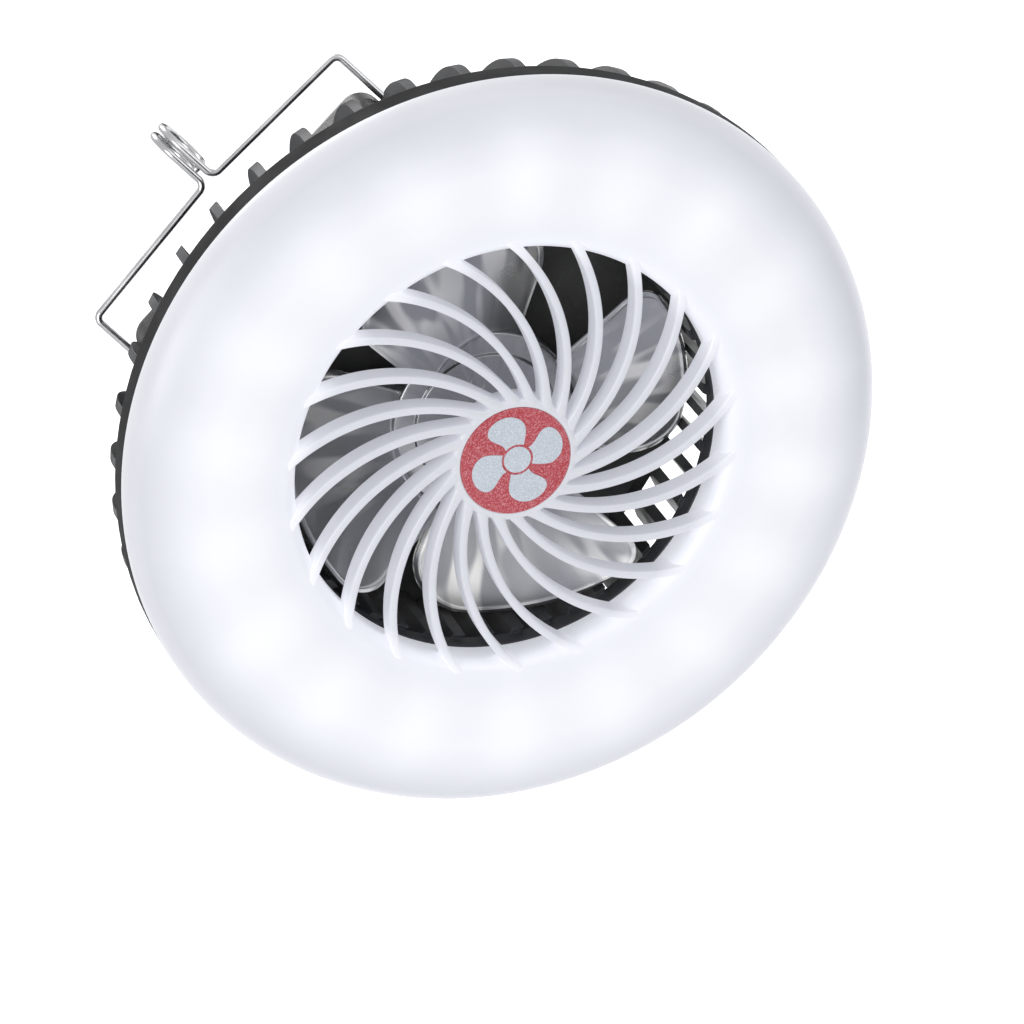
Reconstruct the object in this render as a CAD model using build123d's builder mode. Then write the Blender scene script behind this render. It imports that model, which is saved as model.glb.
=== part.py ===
from build123d import *

import math
import os

os.makedirs("parts", exist_ok=True)

# Portable hanging fan with a ring light. Millimetres, +Z up, front (airflow side) towards -Y.
# The origin is the centre of the hook eye at the top of the wire bail.
# "back" is the distance behind the joint between the light ring and the rear housing,
# "up" and "x" are measured from the fan axis, which runs along Y.

# ------------------------------------------------------------------ clearances
move_gap = 0.3          # between neighbours that move past each other
slip_gap = 0.2          # between pieces that are put together once
run_fit = 0.04          # radial running fit of the shaft in its bushes
press_fit = 0.02        # radial fit of pieces glued or pressed on
bush_fit = 0.05         # radial fit of the bail in its bushes, and of the bushes in the wall
thread_fit = 0.05       # radial fit of a screw in its pilot

# ------------------------------------------------------------------ overall
rim_radius = 105.0
crown_inset = 23.0      # from the rim to the light ring's highest line
crown_height = 12.0
lip_radius = 59.8       # air opening
lip_height = 9.7
lip_back = 0.2
cover_wall = 2.0
rim_land = 0.5
lip_round = 4.5
skirt_back = 3.0
skirt_front = 5.0
band_wall = 2.0
crown_radius = rim_radius - crown_inset
skirt_radius = rim_radius - band_wall - slip_gap

# ------------------------------------------------------------------ grille
rib_count = 22
rib_width = 2.3
rib_back_height = 4.5
rib_front_height = 10.4
rib_round = 0.9
rib_run_in = 1.2        # how far the ribs run into the hub's wall
rib_run_out = 6.2       # how far they run into the light ring
rib_middle = 38.0
rib_angles = (-3.5, 24.6, 49.7)
grille_hub_radius = 17.6
grille_hub_front = 10.4
grille_hub_back = 3.0
grille_hub_wall = 2.0
grille_hub_round = 1.0
badge_radius = 15.3
badge_seat_height = 9.9
badge_thickness = 0.7
badge_edge = 0.15
symbol_thickness = 0.15
symbol_across = 0.55    # the print sits a little off the badge's centre
symbol_disc_radius = 3.75
symbol_paddle_count = 4
symbol_paddle_angle = 57.0
symbol_paddle_inner = 4.4
# outline of one printed paddle, radius and angle from its middle line
symbol_paddle_line = [
    (7.0, 33.0),
    (9.5, 36.6),
    (11.2, 35.0),
    (12.35, 29.3),
    (13.05, 18.8),
    (13.0, 2.5),
    (11.8, -13.0),
    (10.0, -23.5),
    (8.2, -28.0),
]
symbol_paddle_half = 35.0

# ------------------------------------------------------------------ snaps
snap_count = 6
snap_angle = 4.5
snap_length = 9.4
snap_depth = 1.2
snap_back = 1.4
snap_reach = 0.8        # how far a tab reaches into its pocket in the band

# ------------------------------------------------------------------ rear housing
flange_front = 4.0
flange_back = 6.0
collar_wall = 2.2
collar_front = 0.4
vane_count = 44
vane_thickness = 2.5
vane_lean = 20.0
vane_inner = 58.5
vane_outer_inset = 0.2
vane_shoulder_back = 9.0
vane_shoulder_width = 17.8
vane_peak_back = 28.0
vane_fin_depth = 21.6   # from the rim to the foot of the outer fins
vane_valley_back = 11.0
vane_bar_run_out = 4.2  # how far the inner bars stand outside the plate
vane_bar_back = 32.2
vane_foot_back = 5.0    # the vanes start inside the flange and end inside the back plate
vane_plate_back = 33.2
vane_plate_run_in = 1.5
vane_rim_angle = 90.7
plate_radius = 62.0
plate_front = 31.5
plate_back = 34.0
plate_round = 1.0
cradle_ring_outer = 14.5
cradle_ring_inner = 12.5
cradle_ring_front = 26.0
collar_inner = lip_radius
collar_outer = lip_radius + collar_wall
vane_outer = rim_radius - vane_outer_inset
vane_shoulder_radius = vane_outer - vane_shoulder_width
vane_fin_inner = vane_outer - vane_fin_depth
vane_bar_outer = plate_radius + vane_bar_run_out

# ------------------------------------------------------------------ electronics box
box_half = 45.4
box_up = 87.2
box_corner = 6.0
box_wall = 2.0
wall_overlap = 0.5      # how far the box's arc wall runs into the back plate
box_back = 35.0
cover_front = 33.0
cover_round = 1.6
boss_radius = 2.8
boss_gap = 0.7          # between a boss and the box's side wall
boss_low = 57.0
boss_high = 80.5
boss_x = box_half - box_wall - boss_gap - boss_radius

# ------------------------------------------------------------------ hook bail
wire_radius = 1.0
bail_rest_tilt = 21.8
eye_along = 39.2
eye_behind = 7.0
eye_radius = 7.0
eye_half_pitch = 1.55
pivot_up = 72.0
pivot_back = 27.6
leg_x = 47.2
leg_length = 25.7
bar_peak = 28.1
stub_reach = 1.0        # how far the wire's ends stand inside the box's walls
stub_bend = 1.6
corner_bend = 2.2
stem_bend = 2.4
channel_gap = 1.2       # room beside the bail's legs
channel_low = 62.0
channel_high = 108.0
channel_front = 23.6
pivot_bush_radius = 2.2
pivot_flange_radius = 3.6
pivot_flange_thickness = 0.5
stub_end = box_half - box_wall - stub_reach
channel_outer = leg_x + wire_radius + channel_gap

# ------------------------------------------------------------------ light
board_rim_gap = 0.8     # inside the cover's skirt
board_lip_gap = 3.2     # outside the cover's inner wall
board_front = 2.4
sheet_front = 1.9
chip_count = 18
chip_angle = 4.7
chip_ring = crown_radius
chip_width = 2.8
chip_length = 3.5
chip_front = 1.6
board_outer = skirt_radius - cover_wall - board_rim_gap
board_inner = lip_radius + cover_wall + board_lip_gap

# ------------------------------------------------------------------ impeller
blade_count = 4
blade_angle = 57.0
blade_tip = 57.4
blade_root = 25.2
blade_tip_half = 35.5
blade_root_half = 39.0
blade_thickness = 1.4
blade_camber = 2.0
blade_corner_front = 8.0
blade_corner_back = 14.0
# distance out, depth of the middle and slope of four sections
blade_stations = [(16.0, 11.6, 0.5), (30.0, 11.0, 0.42), (44.0, 10.4, 0.345), (60.0, 9.8, 0.27)]
blade_section_half = 42.0
hub_radius = 26.0
hub_front = 15.2
hub_back = 24.0
hub_wall = 1.6
hub_step_radius = 20.0
hub_step_front = 14.0
hub_boss_radius = 3.5
hub_boss_back = 16.9
hub_mark_radius = 12.3
hub_mark_size = 2.0
hub_mark_depth = 0.3
cap_radius = 4.5
cap_front = 11.0
cap_bore_front = 12.2
cap_round = 1.0

# ------------------------------------------------------------------ motor
shaft_radius = 1.0
shaft_front = 12.5
shaft_back = 30.8
can_radius = 12.2
can_wall = 1.0
can_front = 18.5
can_boss_radius = 3.8
can_boss_front = 17.3
bush_front = 17.6
bush_length = 2.0
front_bush_radius = 2.8
rear_bush_radius = 2.5
rear_bush_front = 29.6
rear_bush_length = 1.5
shaft_window = 1.4
end_cap_radius = 11.1
end_cap_front = 28.5
end_cap_well = 3.2
magnet_inner = 9.2
magnet_front = 20.0
magnet_back = 28.0
magnet_split = 7.0
armature_front = 20.5
armature_back = 27.5
armature_radius = 8.8
armature_core = 3.0
pole_count = 3
pole_width = 2.4
pole_shoe = 1.2
pole_shoe_gap = 2.0
coil_inner = 3.1
coil_outer = 6.9
coil_half_width = 2.6
coil_overhang = 0.8
commutator_radius = 2.5
commutator_front = 27.7
commutator_back = 29.4
motor_screw_offset = 8.0
motor_screw_tip = 28.9
motor_screw_seat = 32.6

# ------------------------------------------------------------------ screws
screw_radius = 0.9
screw_head_radius = 1.9
screw_head_height = 1.2
screw_length = 7.1
screw_hole = 1.15
counterbore_radius = 2.1

# ------------------------------------------------------------------ battery and electronics
cell_radius = 9.2
cell_length = 65.0
cell_up = 75.0
cell_centre_back = 17.2
cell_nub_radius = 2.8
cell_nub_length = 0.9
holder_inset = 3.5      # from the cell's ends to the cradle's
holder_low = 65.8
holder_high = 84.2
holder_back = 14.0
contact_thickness = 0.3
contact_low = 70.0
contact_high = 80.0
pcb_front = 28.2
pcb_back = 29.8
pcb_margin = 2.1        # from the posts' centres to the board's edge
pcb_boss_gap = 0.5
pcb_low = 66.0
pcb_step = 77.0
pcb_high = 84.2
pcb_post_rise = 4.0     # from the board's low edge to its screws
pcb_post_radius = 1.9
pcb_post_gap = 0.6      # between the posts and the battery's contacts
holder_half = cell_length / 2 - holder_inset
pcb_post_x = cell_length / 2 + contact_thickness + pcb_post_gap + pcb_post_radius
pcb_post_up = pcb_low + pcb_post_rise
pcb_half = pcb_post_x + pcb_margin
pcb_half_upper = boss_x - boss_radius - pcb_boss_gap
switch_x = 15.0
switch_up = 75.0
switch_size = 6.0
switch_back = 31.6
plunger_radius = 1.6
plunger_back = 31.85
button_radius = 4.0
button_flange_radius = 5.2
button_front = 32.4
button_flange_back = 32.9
button_back = 35.8
button_edge = 0.4
button_travel = 0.5
usb_width = 7.6
usb_depth = 5.6
usb_height = 2.7
usb_high = 86.3
usb_shell = 0.3
lamp_x = 25.0
lamp_up = 80.0
lamp_radius = 1.4
lamp_back = 34.8
port_width = 9.0
port_front = 29.4

# ------------------------------------------------------------------ the frame of the part
tilt_sin = math.sin(math.radians(bail_rest_tilt))
tilt_cos = math.cos(math.radians(bail_rest_tilt))
pivot_y = -(eye_along * tilt_sin + eye_behind * tilt_cos)
pivot_z = -(eye_along * tilt_cos - eye_behind * tilt_sin)
fan_z = pivot_z - pivot_up
joint_y = pivot_y - pivot_back
fan_axis = Axis((0, joint_y, fan_z), (0, -1, 0))


def face_plane(back):
    """Plane that faces the airflow side, a distance behind the joint."""
    return Plane(origin=(0, joint_y + back, fan_z), x_dir=(1, 0, 0), z_dir=(0, -1, 0))


def side_plane(x):
    """Plane that faces +X: its x is up from the fan axis, its y is forward of the joint."""
    return Plane(origin=(x, joint_y, fan_z), x_dir=(0, 0, 1), z_dir=(1, 0, 0))


def polar(radius, degrees):
    """Point of a face plane from its radius and angle."""
    return (radius * math.cos(math.radians(degrees)), radius * math.sin(math.radians(degrees)))


def ring(outer, inner, front, back, mode=Mode.ADD):
    """Round body about the fan axis between two distances behind the joint."""
    with BuildSketch(face_plane(back)) as outline:
        Circle(outer)
        if inner > 0:
            Circle(inner, mode=Mode.SUBTRACT)
    extrude(outline.sketch, amount=back - front, mode=mode)


def post(x, up, radius, front, back, mode=Mode.ADD):
    """Round body parallel to the fan axis."""
    with BuildSketch(face_plane(back)) as outline:
        with Locations((x, up)):
            Circle(radius)
    extrude(outline.sketch, amount=back - front, mode=mode)


def block(x_from, x_to, up_from, up_to, front, back, mode=Mode.ADD):
    """Rectangular body between two distances behind the joint."""
    with BuildSketch(face_plane(back)) as outline:
        with Locations(((x_from + x_to) / 2, (up_from + up_to) / 2)):
            Rectangle(x_to - x_from, up_to - up_from)
    extrude(outline.sketch, amount=back - front, mode=mode)


def box_outline(inset, arc_radius, front, back, mode=Mode.ADD):
    """Body with the electronics box's outline, drawn in by the inset, above an arc."""
    half = box_half - inset
    top = box_up - inset
    low = math.sqrt(arc_radius**2 - half**2)
    with BuildSketch(face_plane(back)) as outline:
        with Locations((0, (low + top) / 2)):
            Rectangle(2 * half, top - low)
        fillet(outline.vertices().group_by(Axis.Y)[-1], radius=box_corner - inset)
        Circle(arc_radius, mode=Mode.SUBTRACT)
    extrude(outline.sketch, amount=back - front, mode=mode)


def screw(x, up, seat, tip):
    """Pan-head screw along the fan axis, head to the rear."""
    post(x, up, screw_head_radius, seat, seat + screw_head_height)
    post(x, up, screw_radius, tip, seat)


# ------------------------------------------------------------------ front cover with grille
rib_radii = (grille_hub_radius - rib_run_in, rib_middle, lip_radius + rib_run_out)
rib_line = list(zip(rib_radii, rib_angles))
with BuildPart() as rib_form:
    with BuildLine(face_plane(-rib_back_height)) as rib_path:
        ThreePointArc(*[polar(radius, degrees) for radius, degrees in rib_line])
    rib_height = rib_front_height - rib_back_height
    section_plane = Plane(origin=rib_path.line @ 0, x_dir=(0, -1, 0), z_dir=rib_path.line % 0)
    with BuildSketch(section_plane) as rib_section:
        with Locations((rib_height / 2, 0)):
            Rectangle(rib_height, rib_width)
        fillet(rib_section.vertices().group_by(Axis.X)[-1], radius=rib_round)
    sweep(path=rib_path.wires()[0])

inner_crown = crown_height - cover_wall
lip_arc_radius = ((crown_radius - lip_radius) ** 2 + (crown_height - lip_height) ** 2) / (
    2 * (crown_height - lip_height)
)
lip_wall_radius = lip_radius + cover_wall
inner_arc_radius = lip_arc_radius - cover_wall
inner_lip_height = (
    crown_height
    - lip_arc_radius
    + math.sqrt(inner_arc_radius**2 - (crown_radius - lip_wall_radius) ** 2)
)

with BuildPart() as front_cover:
    with BuildSketch(side_plane(0)) as cover_section:
        with BuildLine():
            Line((rim_radius, 0), (rim_radius, rim_land))
            EllipticalCenterArc(
                (crown_radius, rim_land),
                rim_radius - crown_radius,
                crown_height - rim_land,
                start_angle=0,
                arc_size=90,
            )
            TangentArc(
                (crown_radius, crown_height), (lip_radius, lip_height), tangent=(-1, 0)
            )
            Line((lip_radius, lip_height), (lip_radius, -lip_back))
            Line((lip_radius, -lip_back), (lip_wall_radius, -lip_back))
            Line((lip_wall_radius, -lip_back), (lip_wall_radius, inner_lip_height))
            TangentArc(
                (crown_radius, inner_crown),
                (lip_wall_radius, inner_lip_height),
                tangent=(-1, 0),
            )
            EllipticalCenterArc(
                (crown_radius, rim_land),
                rim_radius - cover_wall - crown_radius,
                inner_crown - rim_land,
                start_angle=0,
                arc_size=90,
            )
            Line((rim_radius - cover_wall, rim_land), (rim_radius - cover_wall, 0))
            Line((rim_radius - cover_wall, 0), (rim_radius, 0))
        make_face()
        lip_corner = cover_section.vertices().sort_by_distance((lip_radius, lip_height))[0]
        fillet(lip_corner, radius=lip_round)
        lip_hollow = cover_section.vertices().sort_by_distance((lip_wall_radius, inner_lip_height))[0]
        fillet(lip_hollow, radius=lip_round - cover_wall)
    revolve(axis=fan_axis)
    # locating skirt inside the rim band, with snap tabs
    ring(skirt_radius, skirt_radius - cover_wall, -skirt_front, skirt_back)
    snap_outer = rim_radius - band_wall + snap_reach
    with BuildSketch(face_plane(snap_back + snap_depth)) as snap_tabs:
        with PolarLocations((skirt_radius + snap_outer) / 2 - cover_wall / 4, snap_count, snap_angle):
            Rectangle(snap_outer - skirt_radius + cover_wall / 2, snap_length)
    extrude(amount=snap_depth)
    # grille hub, hollow behind, with a shallow seat for the badge
    ring(grille_hub_radius, 0, -grille_hub_front, -grille_hub_back)
    fillet(
        front_cover.edges()
        .filter_by(GeomType.CIRCLE)
        .sort_by_distance((grille_hub_radius, joint_y - grille_hub_front, fan_z))[0],
        radius=grille_hub_round,
    )
    ring(
        grille_hub_radius - grille_hub_wall,
        0,
        grille_hub_wall - badge_seat_height,
        -grille_hub_back,
        mode=Mode.SUBTRACT,
    )
    add([rib_form.part.rotate(fan_axis, index * 360 / rib_count) for index in range(rib_count)])
    ring(badge_radius + slip_gap, 0, -grille_hub_front, -badge_seat_height, mode=Mode.SUBTRACT)
    ring(
        grille_hub_radius - grille_hub_wall,
        0,
        grille_hub_wall - badge_seat_height,
        -grille_hub_back,
        mode=Mode.SUBTRACT,
    )
front_cover.part.label = "front_cover"
export_step(front_cover.part, "parts/front_cover.step")

badge_front_height = badge_seat_height + badge_thickness
with BuildPart() as hub_badge:
    ring(badge_radius, 0, -badge_front_height, -badge_seat_height)
    chamfer(hub_badge.edges().group_by(Axis.Y)[0], length=badge_edge)
hub_badge.part.label = "hub_badge"
export_step(hub_badge.part, "parts/hub_badge.step")

with BuildPart() as badge_symbol:
    with BuildSketch(face_plane(-badge_front_height)) as symbol:
        with Locations((symbol_across, 0)):
            Circle(symbol_disc_radius)
        for index in range(symbol_paddle_count):
            turn = symbol_paddle_angle + index * 360 / symbol_paddle_count
            with BuildLine(mode=Mode.PRIVATE) as paddle:
                Spline(
                    polar(symbol_paddle_inner, symbol_paddle_half),
                    *[polar(radius, degrees) for radius, degrees in symbol_paddle_line],
                    polar(symbol_paddle_inner, -symbol_paddle_half),
                )
                ThreePointArc(
                    polar(symbol_paddle_inner, -symbol_paddle_half),
                    (symbol_paddle_inner, 0),
                    polar(symbol_paddle_inner, symbol_paddle_half),
                )
            with Locations(Location((symbol_across, 0, 0), (0, 0, turn))):
                add(make_face(paddle.edges(), mode=Mode.PRIVATE))
    extrude(amount=symbol_thickness)
badge_symbol.part.label = "badge_symbol"
export_step(badge_symbol.part, "parts/badge_symbol.step")

# ------------------------------------------------------------------ ring light
with BuildPart() as led_board:
    ring(board_outer, board_inner, board_front, flange_front)
led_board.part.label = "led_board"
export_step(led_board.part, "parts/led_board.step")

with BuildPart() as light_reflector:
    ring(board_outer, board_inner, sheet_front, board_front)
    with BuildSketch(face_plane(board_front)) as chip_windows:
        with PolarLocations(chip_ring, chip_count, chip_angle):
            Rectangle(chip_length + 2 * slip_gap, chip_width + 2 * slip_gap)
    extrude(amount=board_front - sheet_front, mode=Mode.SUBTRACT)
light_reflector.part.label = "light_reflector"
export_step(light_reflector.part, "parts/light_reflector.step")

with BuildPart() as led_chips:
    with BuildSketch(face_plane(board_front)) as chips:
        with PolarLocations(chip_ring, chip_count, chip_angle):
            Rectangle(chip_length, chip_width)
    extrude(amount=board_front - chip_front)
led_chips.part.label = "led_chips"
export_step(led_chips.part, "parts/led_chips.step")

# ------------------------------------------------------------------ rear housing
vane_offset = rim_radius * math.sin(math.radians(vane_lean))
vane_from = math.sqrt(vane_inner**2 - vane_offset**2) - vane_thickness
vane_to = rim_radius * math.cos(math.radians(vane_lean)) + vane_thickness
with BuildPart() as vane_form:
    with BuildSketch(face_plane(plate_back)) as vane_plan:
        with Locations(((vane_from + vane_to) / 2, vane_offset)):
            Rectangle(vane_to - vane_from, vane_thickness)
    extrude(amount=plate_back - flange_front)
    with BuildSketch(side_plane(0)) as vane_envelope:
        with BuildLine():
            Line((vane_inner, -vane_foot_back), (vane_outer, -vane_foot_back))
            Line((vane_outer, -vane_foot_back), (vane_outer, -vane_shoulder_back))
            EllipticalCenterArc(
                (vane_shoulder_radius, -vane_shoulder_back),
                vane_outer - vane_shoulder_radius,
                vane_peak_back - vane_shoulder_back,
                start_angle=270,
                arc_size=90,
            )
            Line((vane_shoulder_radius, -vane_peak_back), (vane_fin_inner, -vane_peak_back))
            Line((vane_fin_inner, -vane_peak_back), (vane_fin_inner, -vane_valley_back))
            Line((vane_fin_inner, -vane_valley_back), (vane_bar_outer, -vane_valley_back))
            Line((vane_bar_outer, -vane_valley_back), (vane_bar_outer, -vane_bar_back))
            Line(
                (vane_bar_outer, -vane_bar_back),
                (plate_radius - vane_plate_run_in, -vane_plate_back),
            )
            Line(
                (plate_radius - vane_plate_run_in, -vane_plate_back),
                (vane_inner, -vane_plate_back),
            )
            Line((vane_inner, -vane_plate_back), (vane_inner, -vane_foot_back))
        make_face()
    revolve(axis=fan_axis, mode=Mode.INTERSECT)

with BuildPart() as rear_housing:
    ring(rim_radius, rim_radius - band_wall, 0, flange_back)
    ring(rim_radius, collar_inner, flange_front, flange_back)
    ring(collar_outer, collar_inner, collar_front, flange_back)
    first_vane = vane_rim_angle - vane_lean
    ring(plate_radius, 0, plate_front, plate_back)
    ring(cradle_ring_outer, cradle_ring_inner, cradle_ring_front, plate_front)
    add(
        [
            vane_form.part.rotate(fan_axis, first_vane + index * 360 / vane_count)
            for index in range(vane_count)
        ]
    )
    # electronics box: its walls and its inside
    box_outline(0, plate_radius - wall_overlap, flange_front, cover_front)
    box_outline(
        box_wall, plate_radius + box_wall, flange_back, cover_front, mode=Mode.SUBTRACT
    )
    for x in (-boss_x, boss_x):
        for up in (boss_low, boss_high):
            post(x, up, boss_radius, flange_back, cover_front)
    for x in (-pcb_post_x, pcb_post_x):
        post(x, pcb_post_up, pcb_post_radius, flange_back, pcb_front)
    for x in (-boss_x, boss_x):
        for up in (boss_low, boss_high):
            post(x, up, screw_radius + thread_fit, box_wall + flange_back, cover_front, mode=Mode.SUBTRACT)
    for x in (-pcb_post_x, pcb_post_x):
        post(
            x,
            pcb_post_up,
            screw_radius + thread_fit,
            box_wall + flange_back,
            pcb_front,
            mode=Mode.SUBTRACT,
        )
    block(
        -port_width / 2,
        port_width / 2,
        box_up - 2 * box_wall,
        box_up + box_wall,
        port_front,
        cover_front,
        mode=Mode.SUBTRACT,
    )
    # channels in the vanes for the bail's legs
    for side in (-1, 1):
        block(
            *sorted((side * box_half, side * channel_outer)),
            channel_low,
            channel_high,
            channel_front,
            plate_back + box_wall,
            mode=Mode.SUBTRACT,
        )
    # bores for the bail's bushes
    for side in (-1, 1):
        with BuildSketch(side_plane(side * box_half)) as pivot_bore:
            with Locations((pivot_up, -pivot_back)):
                Circle(pivot_bush_radius + bush_fit)
        extrude(amount=-side * box_wall, mode=Mode.SUBTRACT)
    # blind pockets for the snaps of the front cover
    pocket_inner = skirt_radius - cover_wall
    pocket_outer = rim_radius - band_wall + snap_reach + move_gap
    with BuildSketch(face_plane(snap_back + snap_depth + slip_gap)) as snap_pockets:
        with PolarLocations((pocket_inner + pocket_outer) / 2, snap_count, snap_angle):
            Rectangle(pocket_outer - pocket_inner, snap_length + 2 * move_gap)
    extrude(amount=snap_depth + 2 * slip_gap, mode=Mode.SUBTRACT)
    # seats of the two motor screws
    for x in (-motor_screw_offset, motor_screw_offset):
        post(x, 0, screw_hole, plate_front, plate_back, mode=Mode.SUBTRACT)
        post(x, 0, counterbore_radius, motor_screw_seat, plate_back, mode=Mode.SUBTRACT)
rear_housing.part.label = "rear_housing"
export_step(rear_housing.part, "parts/rear_housing.step")

with BuildPart() as box_cover:
    box_outline(0, plate_radius + move_gap, cover_front, box_back)
    back_face = box_cover.faces().sort_by(Axis.Y)[-1]
    fillet(back_face.outer_wire().edges(), radius=cover_round)
    for x in (-boss_x, boss_x):
        for up in (boss_low, boss_high):
            post(x, up, screw_hole, cover_front, box_back, mode=Mode.SUBTRACT)
            post(
                x,
                up,
                counterbore_radius,
                box_back - screw_head_height,
                box_back,
                mode=Mode.SUBTRACT,
            )
    for x in (-switch_x, switch_x):
        post(x, switch_up, button_radius + move_gap, cover_front, box_back, mode=Mode.SUBTRACT)
    post(lamp_x, lamp_up, lamp_radius + slip_gap, cover_front, box_back, mode=Mode.SUBTRACT)
box_cover.part.label = "box_cover"
export_step(box_cover.part, "parts/box_cover.step")

with BuildPart() as cover_screws:
    for x in (-boss_x, boss_x):
        for up in (boss_low, boss_high):
            screw(x, up, box_back - screw_head_height, cover_front - screw_length)
cover_screws.part.label = "cover_screws"
export_step(cover_screws.part, "parts/cover_screws.step")

with BuildPart() as board_screws:
    for x in (-pcb_post_x, pcb_post_x):
        screw(x, pcb_post_up, pcb_back, pcb_front - screw_length)
board_screws.part.label = "board_screws"
export_step(board_screws.part, "parts/board_screws.step")

with BuildPart() as motor_screws:
    for x in (-motor_screw_offset, motor_screw_offset):
        screw(x, 0, motor_screw_seat, motor_screw_tip)
motor_screws.part.label = "motor_screws"
export_step(motor_screws.part, "parts/motor_screws.step")

with BuildPart() as pivot_bushes:
    for side in (-1, 1):
        with BuildSketch(side_plane(side * box_half)) as bush_body:
            with Locations((pivot_up, -pivot_back)):
                Circle(pivot_bush_radius)
                Circle(wire_radius + bush_fit, mode=Mode.SUBTRACT)
        extrude(amount=-side * box_wall)
        with BuildSketch(side_plane(side * box_half)) as bush_flange:
            with Locations((pivot_up, -pivot_back)):
                Circle(pivot_flange_radius)
                Circle(wire_radius + bush_fit, mode=Mode.SUBTRACT)
        extrude(amount=side * pivot_flange_thickness)
pivot_bushes.part.label = "pivot_bushes"
export_step(pivot_bushes.part, "parts/pivot_bushes.step")

# ------------------------------------------------------------------ battery and electronics
cell_low = cell_length / 2 - cell_nub_length
with BuildPart() as battery_cell:
    with BuildSketch(side_plane(-cell_length / 2)) as cell_end:
        with Locations((cell_up, -cell_centre_back)):
            Circle(cell_radius)
    extrude(amount=cell_length - cell_nub_length)
    with BuildSketch(side_plane(cell_low)) as cell_nub:
        with Locations((cell_up, -cell_centre_back)):
            Circle(cell_nub_radius)
    extrude(amount=cell_nub_length)
battery_cell.part.label = "battery_cell"
export_step(battery_cell.part, "parts/battery_cell.step")

with BuildPart() as battery_cradle:
    block(-holder_half, holder_half, holder_low, holder_high, flange_back, holder_back)
    with BuildSketch(side_plane(-holder_half)) as cradle_hollow:
        with Locations((cell_up, -cell_centre_back)):
            Circle(cell_radius + press_fit)
    extrude(amount=2 * holder_half, mode=Mode.SUBTRACT)
battery_cradle.part.label = "battery_cradle"
export_step(battery_cradle.part, "parts/battery_cradle.step")

with BuildPart() as battery_contacts:
    for side in (-1, 1):
        block(
            *sorted((side * cell_length / 2, side * (cell_length / 2 + contact_thickness))),
            contact_low,
            contact_high,
            flange_back,
            pcb_front,
        )
battery_contacts.part.label = "battery_contacts"
export_step(battery_contacts.part, "parts/battery_contacts.step")

with BuildPart() as control_board:
    block(-pcb_half, pcb_half, pcb_low, pcb_step, pcb_front, pcb_back)
    block(-pcb_half_upper, pcb_half_upper, pcb_step, pcb_high, pcb_front, pcb_back)
    for x in (-pcb_post_x, pcb_post_x):
        post(x, pcb_post_up, screw_hole, pcb_front, pcb_back, mode=Mode.SUBTRACT)
control_board.part.label = "control_board"
export_step(control_board.part, "parts/control_board.step")

with BuildPart() as usb_socket:
    block(
        -usb_width / 2,
        usb_width / 2,
        usb_high - usb_depth,
        usb_high,
        pcb_back,
        pcb_back + usb_height,
    )
    fillet(usb_socket.edges().filter_by(Axis.Z), radius=usb_shell * 2)
    block(
        -usb_width / 2 + usb_shell,
        usb_width / 2 - usb_shell,
        usb_high - usb_depth + usb_shell,
        usb_high,
        pcb_back + usb_shell,
        pcb_back + usb_height - usb_shell,
        mode=Mode.SUBTRACT,
    )
    block(
        -usb_width / 3,
        usb_width / 3,
        usb_high - usb_depth,
        usb_high - 2 * usb_shell,
        pcb_back + usb_height / 2,
        pcb_back + usb_height / 2 + 2 * usb_shell,
    )
usb_socket.part.label = "usb_socket"
export_step(usb_socket.part, "parts/usb_socket.step")

with BuildPart() as fan_switch:
    block(
        -switch_x - switch_size / 2,
        -switch_x + switch_size / 2,
        switch_up - switch_size / 2,
        switch_up + switch_size / 2,
        pcb_back,
        switch_back,
    )
    post(-switch_x, switch_up, plunger_radius, switch_back, plunger_back)
fan_switch.part.label = "fan_switch"
export_step(fan_switch.part, "parts/fan_switch.step")

with BuildPart() as light_switch:
    block(
        switch_x - switch_size / 2,
        switch_x + switch_size / 2,
        switch_up - switch_size / 2,
        switch_up + switch_size / 2,
        pcb_back,
        switch_back,
    )
    post(switch_x, switch_up, plunger_radius, switch_back, plunger_back)
light_switch.part.label = "light_switch"
export_step(light_switch.part, "parts/light_switch.step")

with BuildPart() as charge_lamp:
    post(lamp_x, lamp_up, lamp_radius, pcb_back, lamp_back)
charge_lamp.part.label = "charge_lamp"
export_step(charge_lamp.part, "parts/charge_lamp.step")

with BuildPart() as fan_button:
    post(-switch_x, switch_up, button_radius, button_front, button_back)
    fillet(fan_button.edges().sort_by(Axis.Y)[-1], radius=button_edge)
    post(-switch_x, switch_up, button_flange_radius, button_front, button_flange_back)
fan_button.part.label = "fan_button"
export_step(fan_button.part, "parts/fan_button.step")

with BuildPart() as light_button:
    post(switch_x, switch_up, button_radius, button_front, button_back)
    fillet(light_button.edges().sort_by(Axis.Y)[-1], radius=button_edge)
    post(switch_x, switch_up, button_flange_radius, button_front, button_flange_back)
light_button.part.label = "light_button"
export_step(light_button.part, "parts/light_button.step")

# ------------------------------------------------------------------ motor
with BuildPart() as motor_can:
    ring(can_radius, 0, can_front, plate_front)
    fillet(motor_can.edges().sort_by(Axis.Y)[0], radius=can_wall / 2)
    ring(can_radius - can_wall, 0, can_front + can_wall, plate_front, mode=Mode.SUBTRACT)
    ring(can_boss_radius, 0, can_boss_front, bush_front + bush_length)
    ring(front_bush_radius + press_fit, 0, bush_front, bush_front + bush_length, mode=Mode.SUBTRACT)
    ring(shaft_window, 0, can_boss_front, bush_front, mode=Mode.SUBTRACT)
motor_can.part.label = "motor_can"
export_step(motor_can.part, "parts/motor_can.step")

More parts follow.
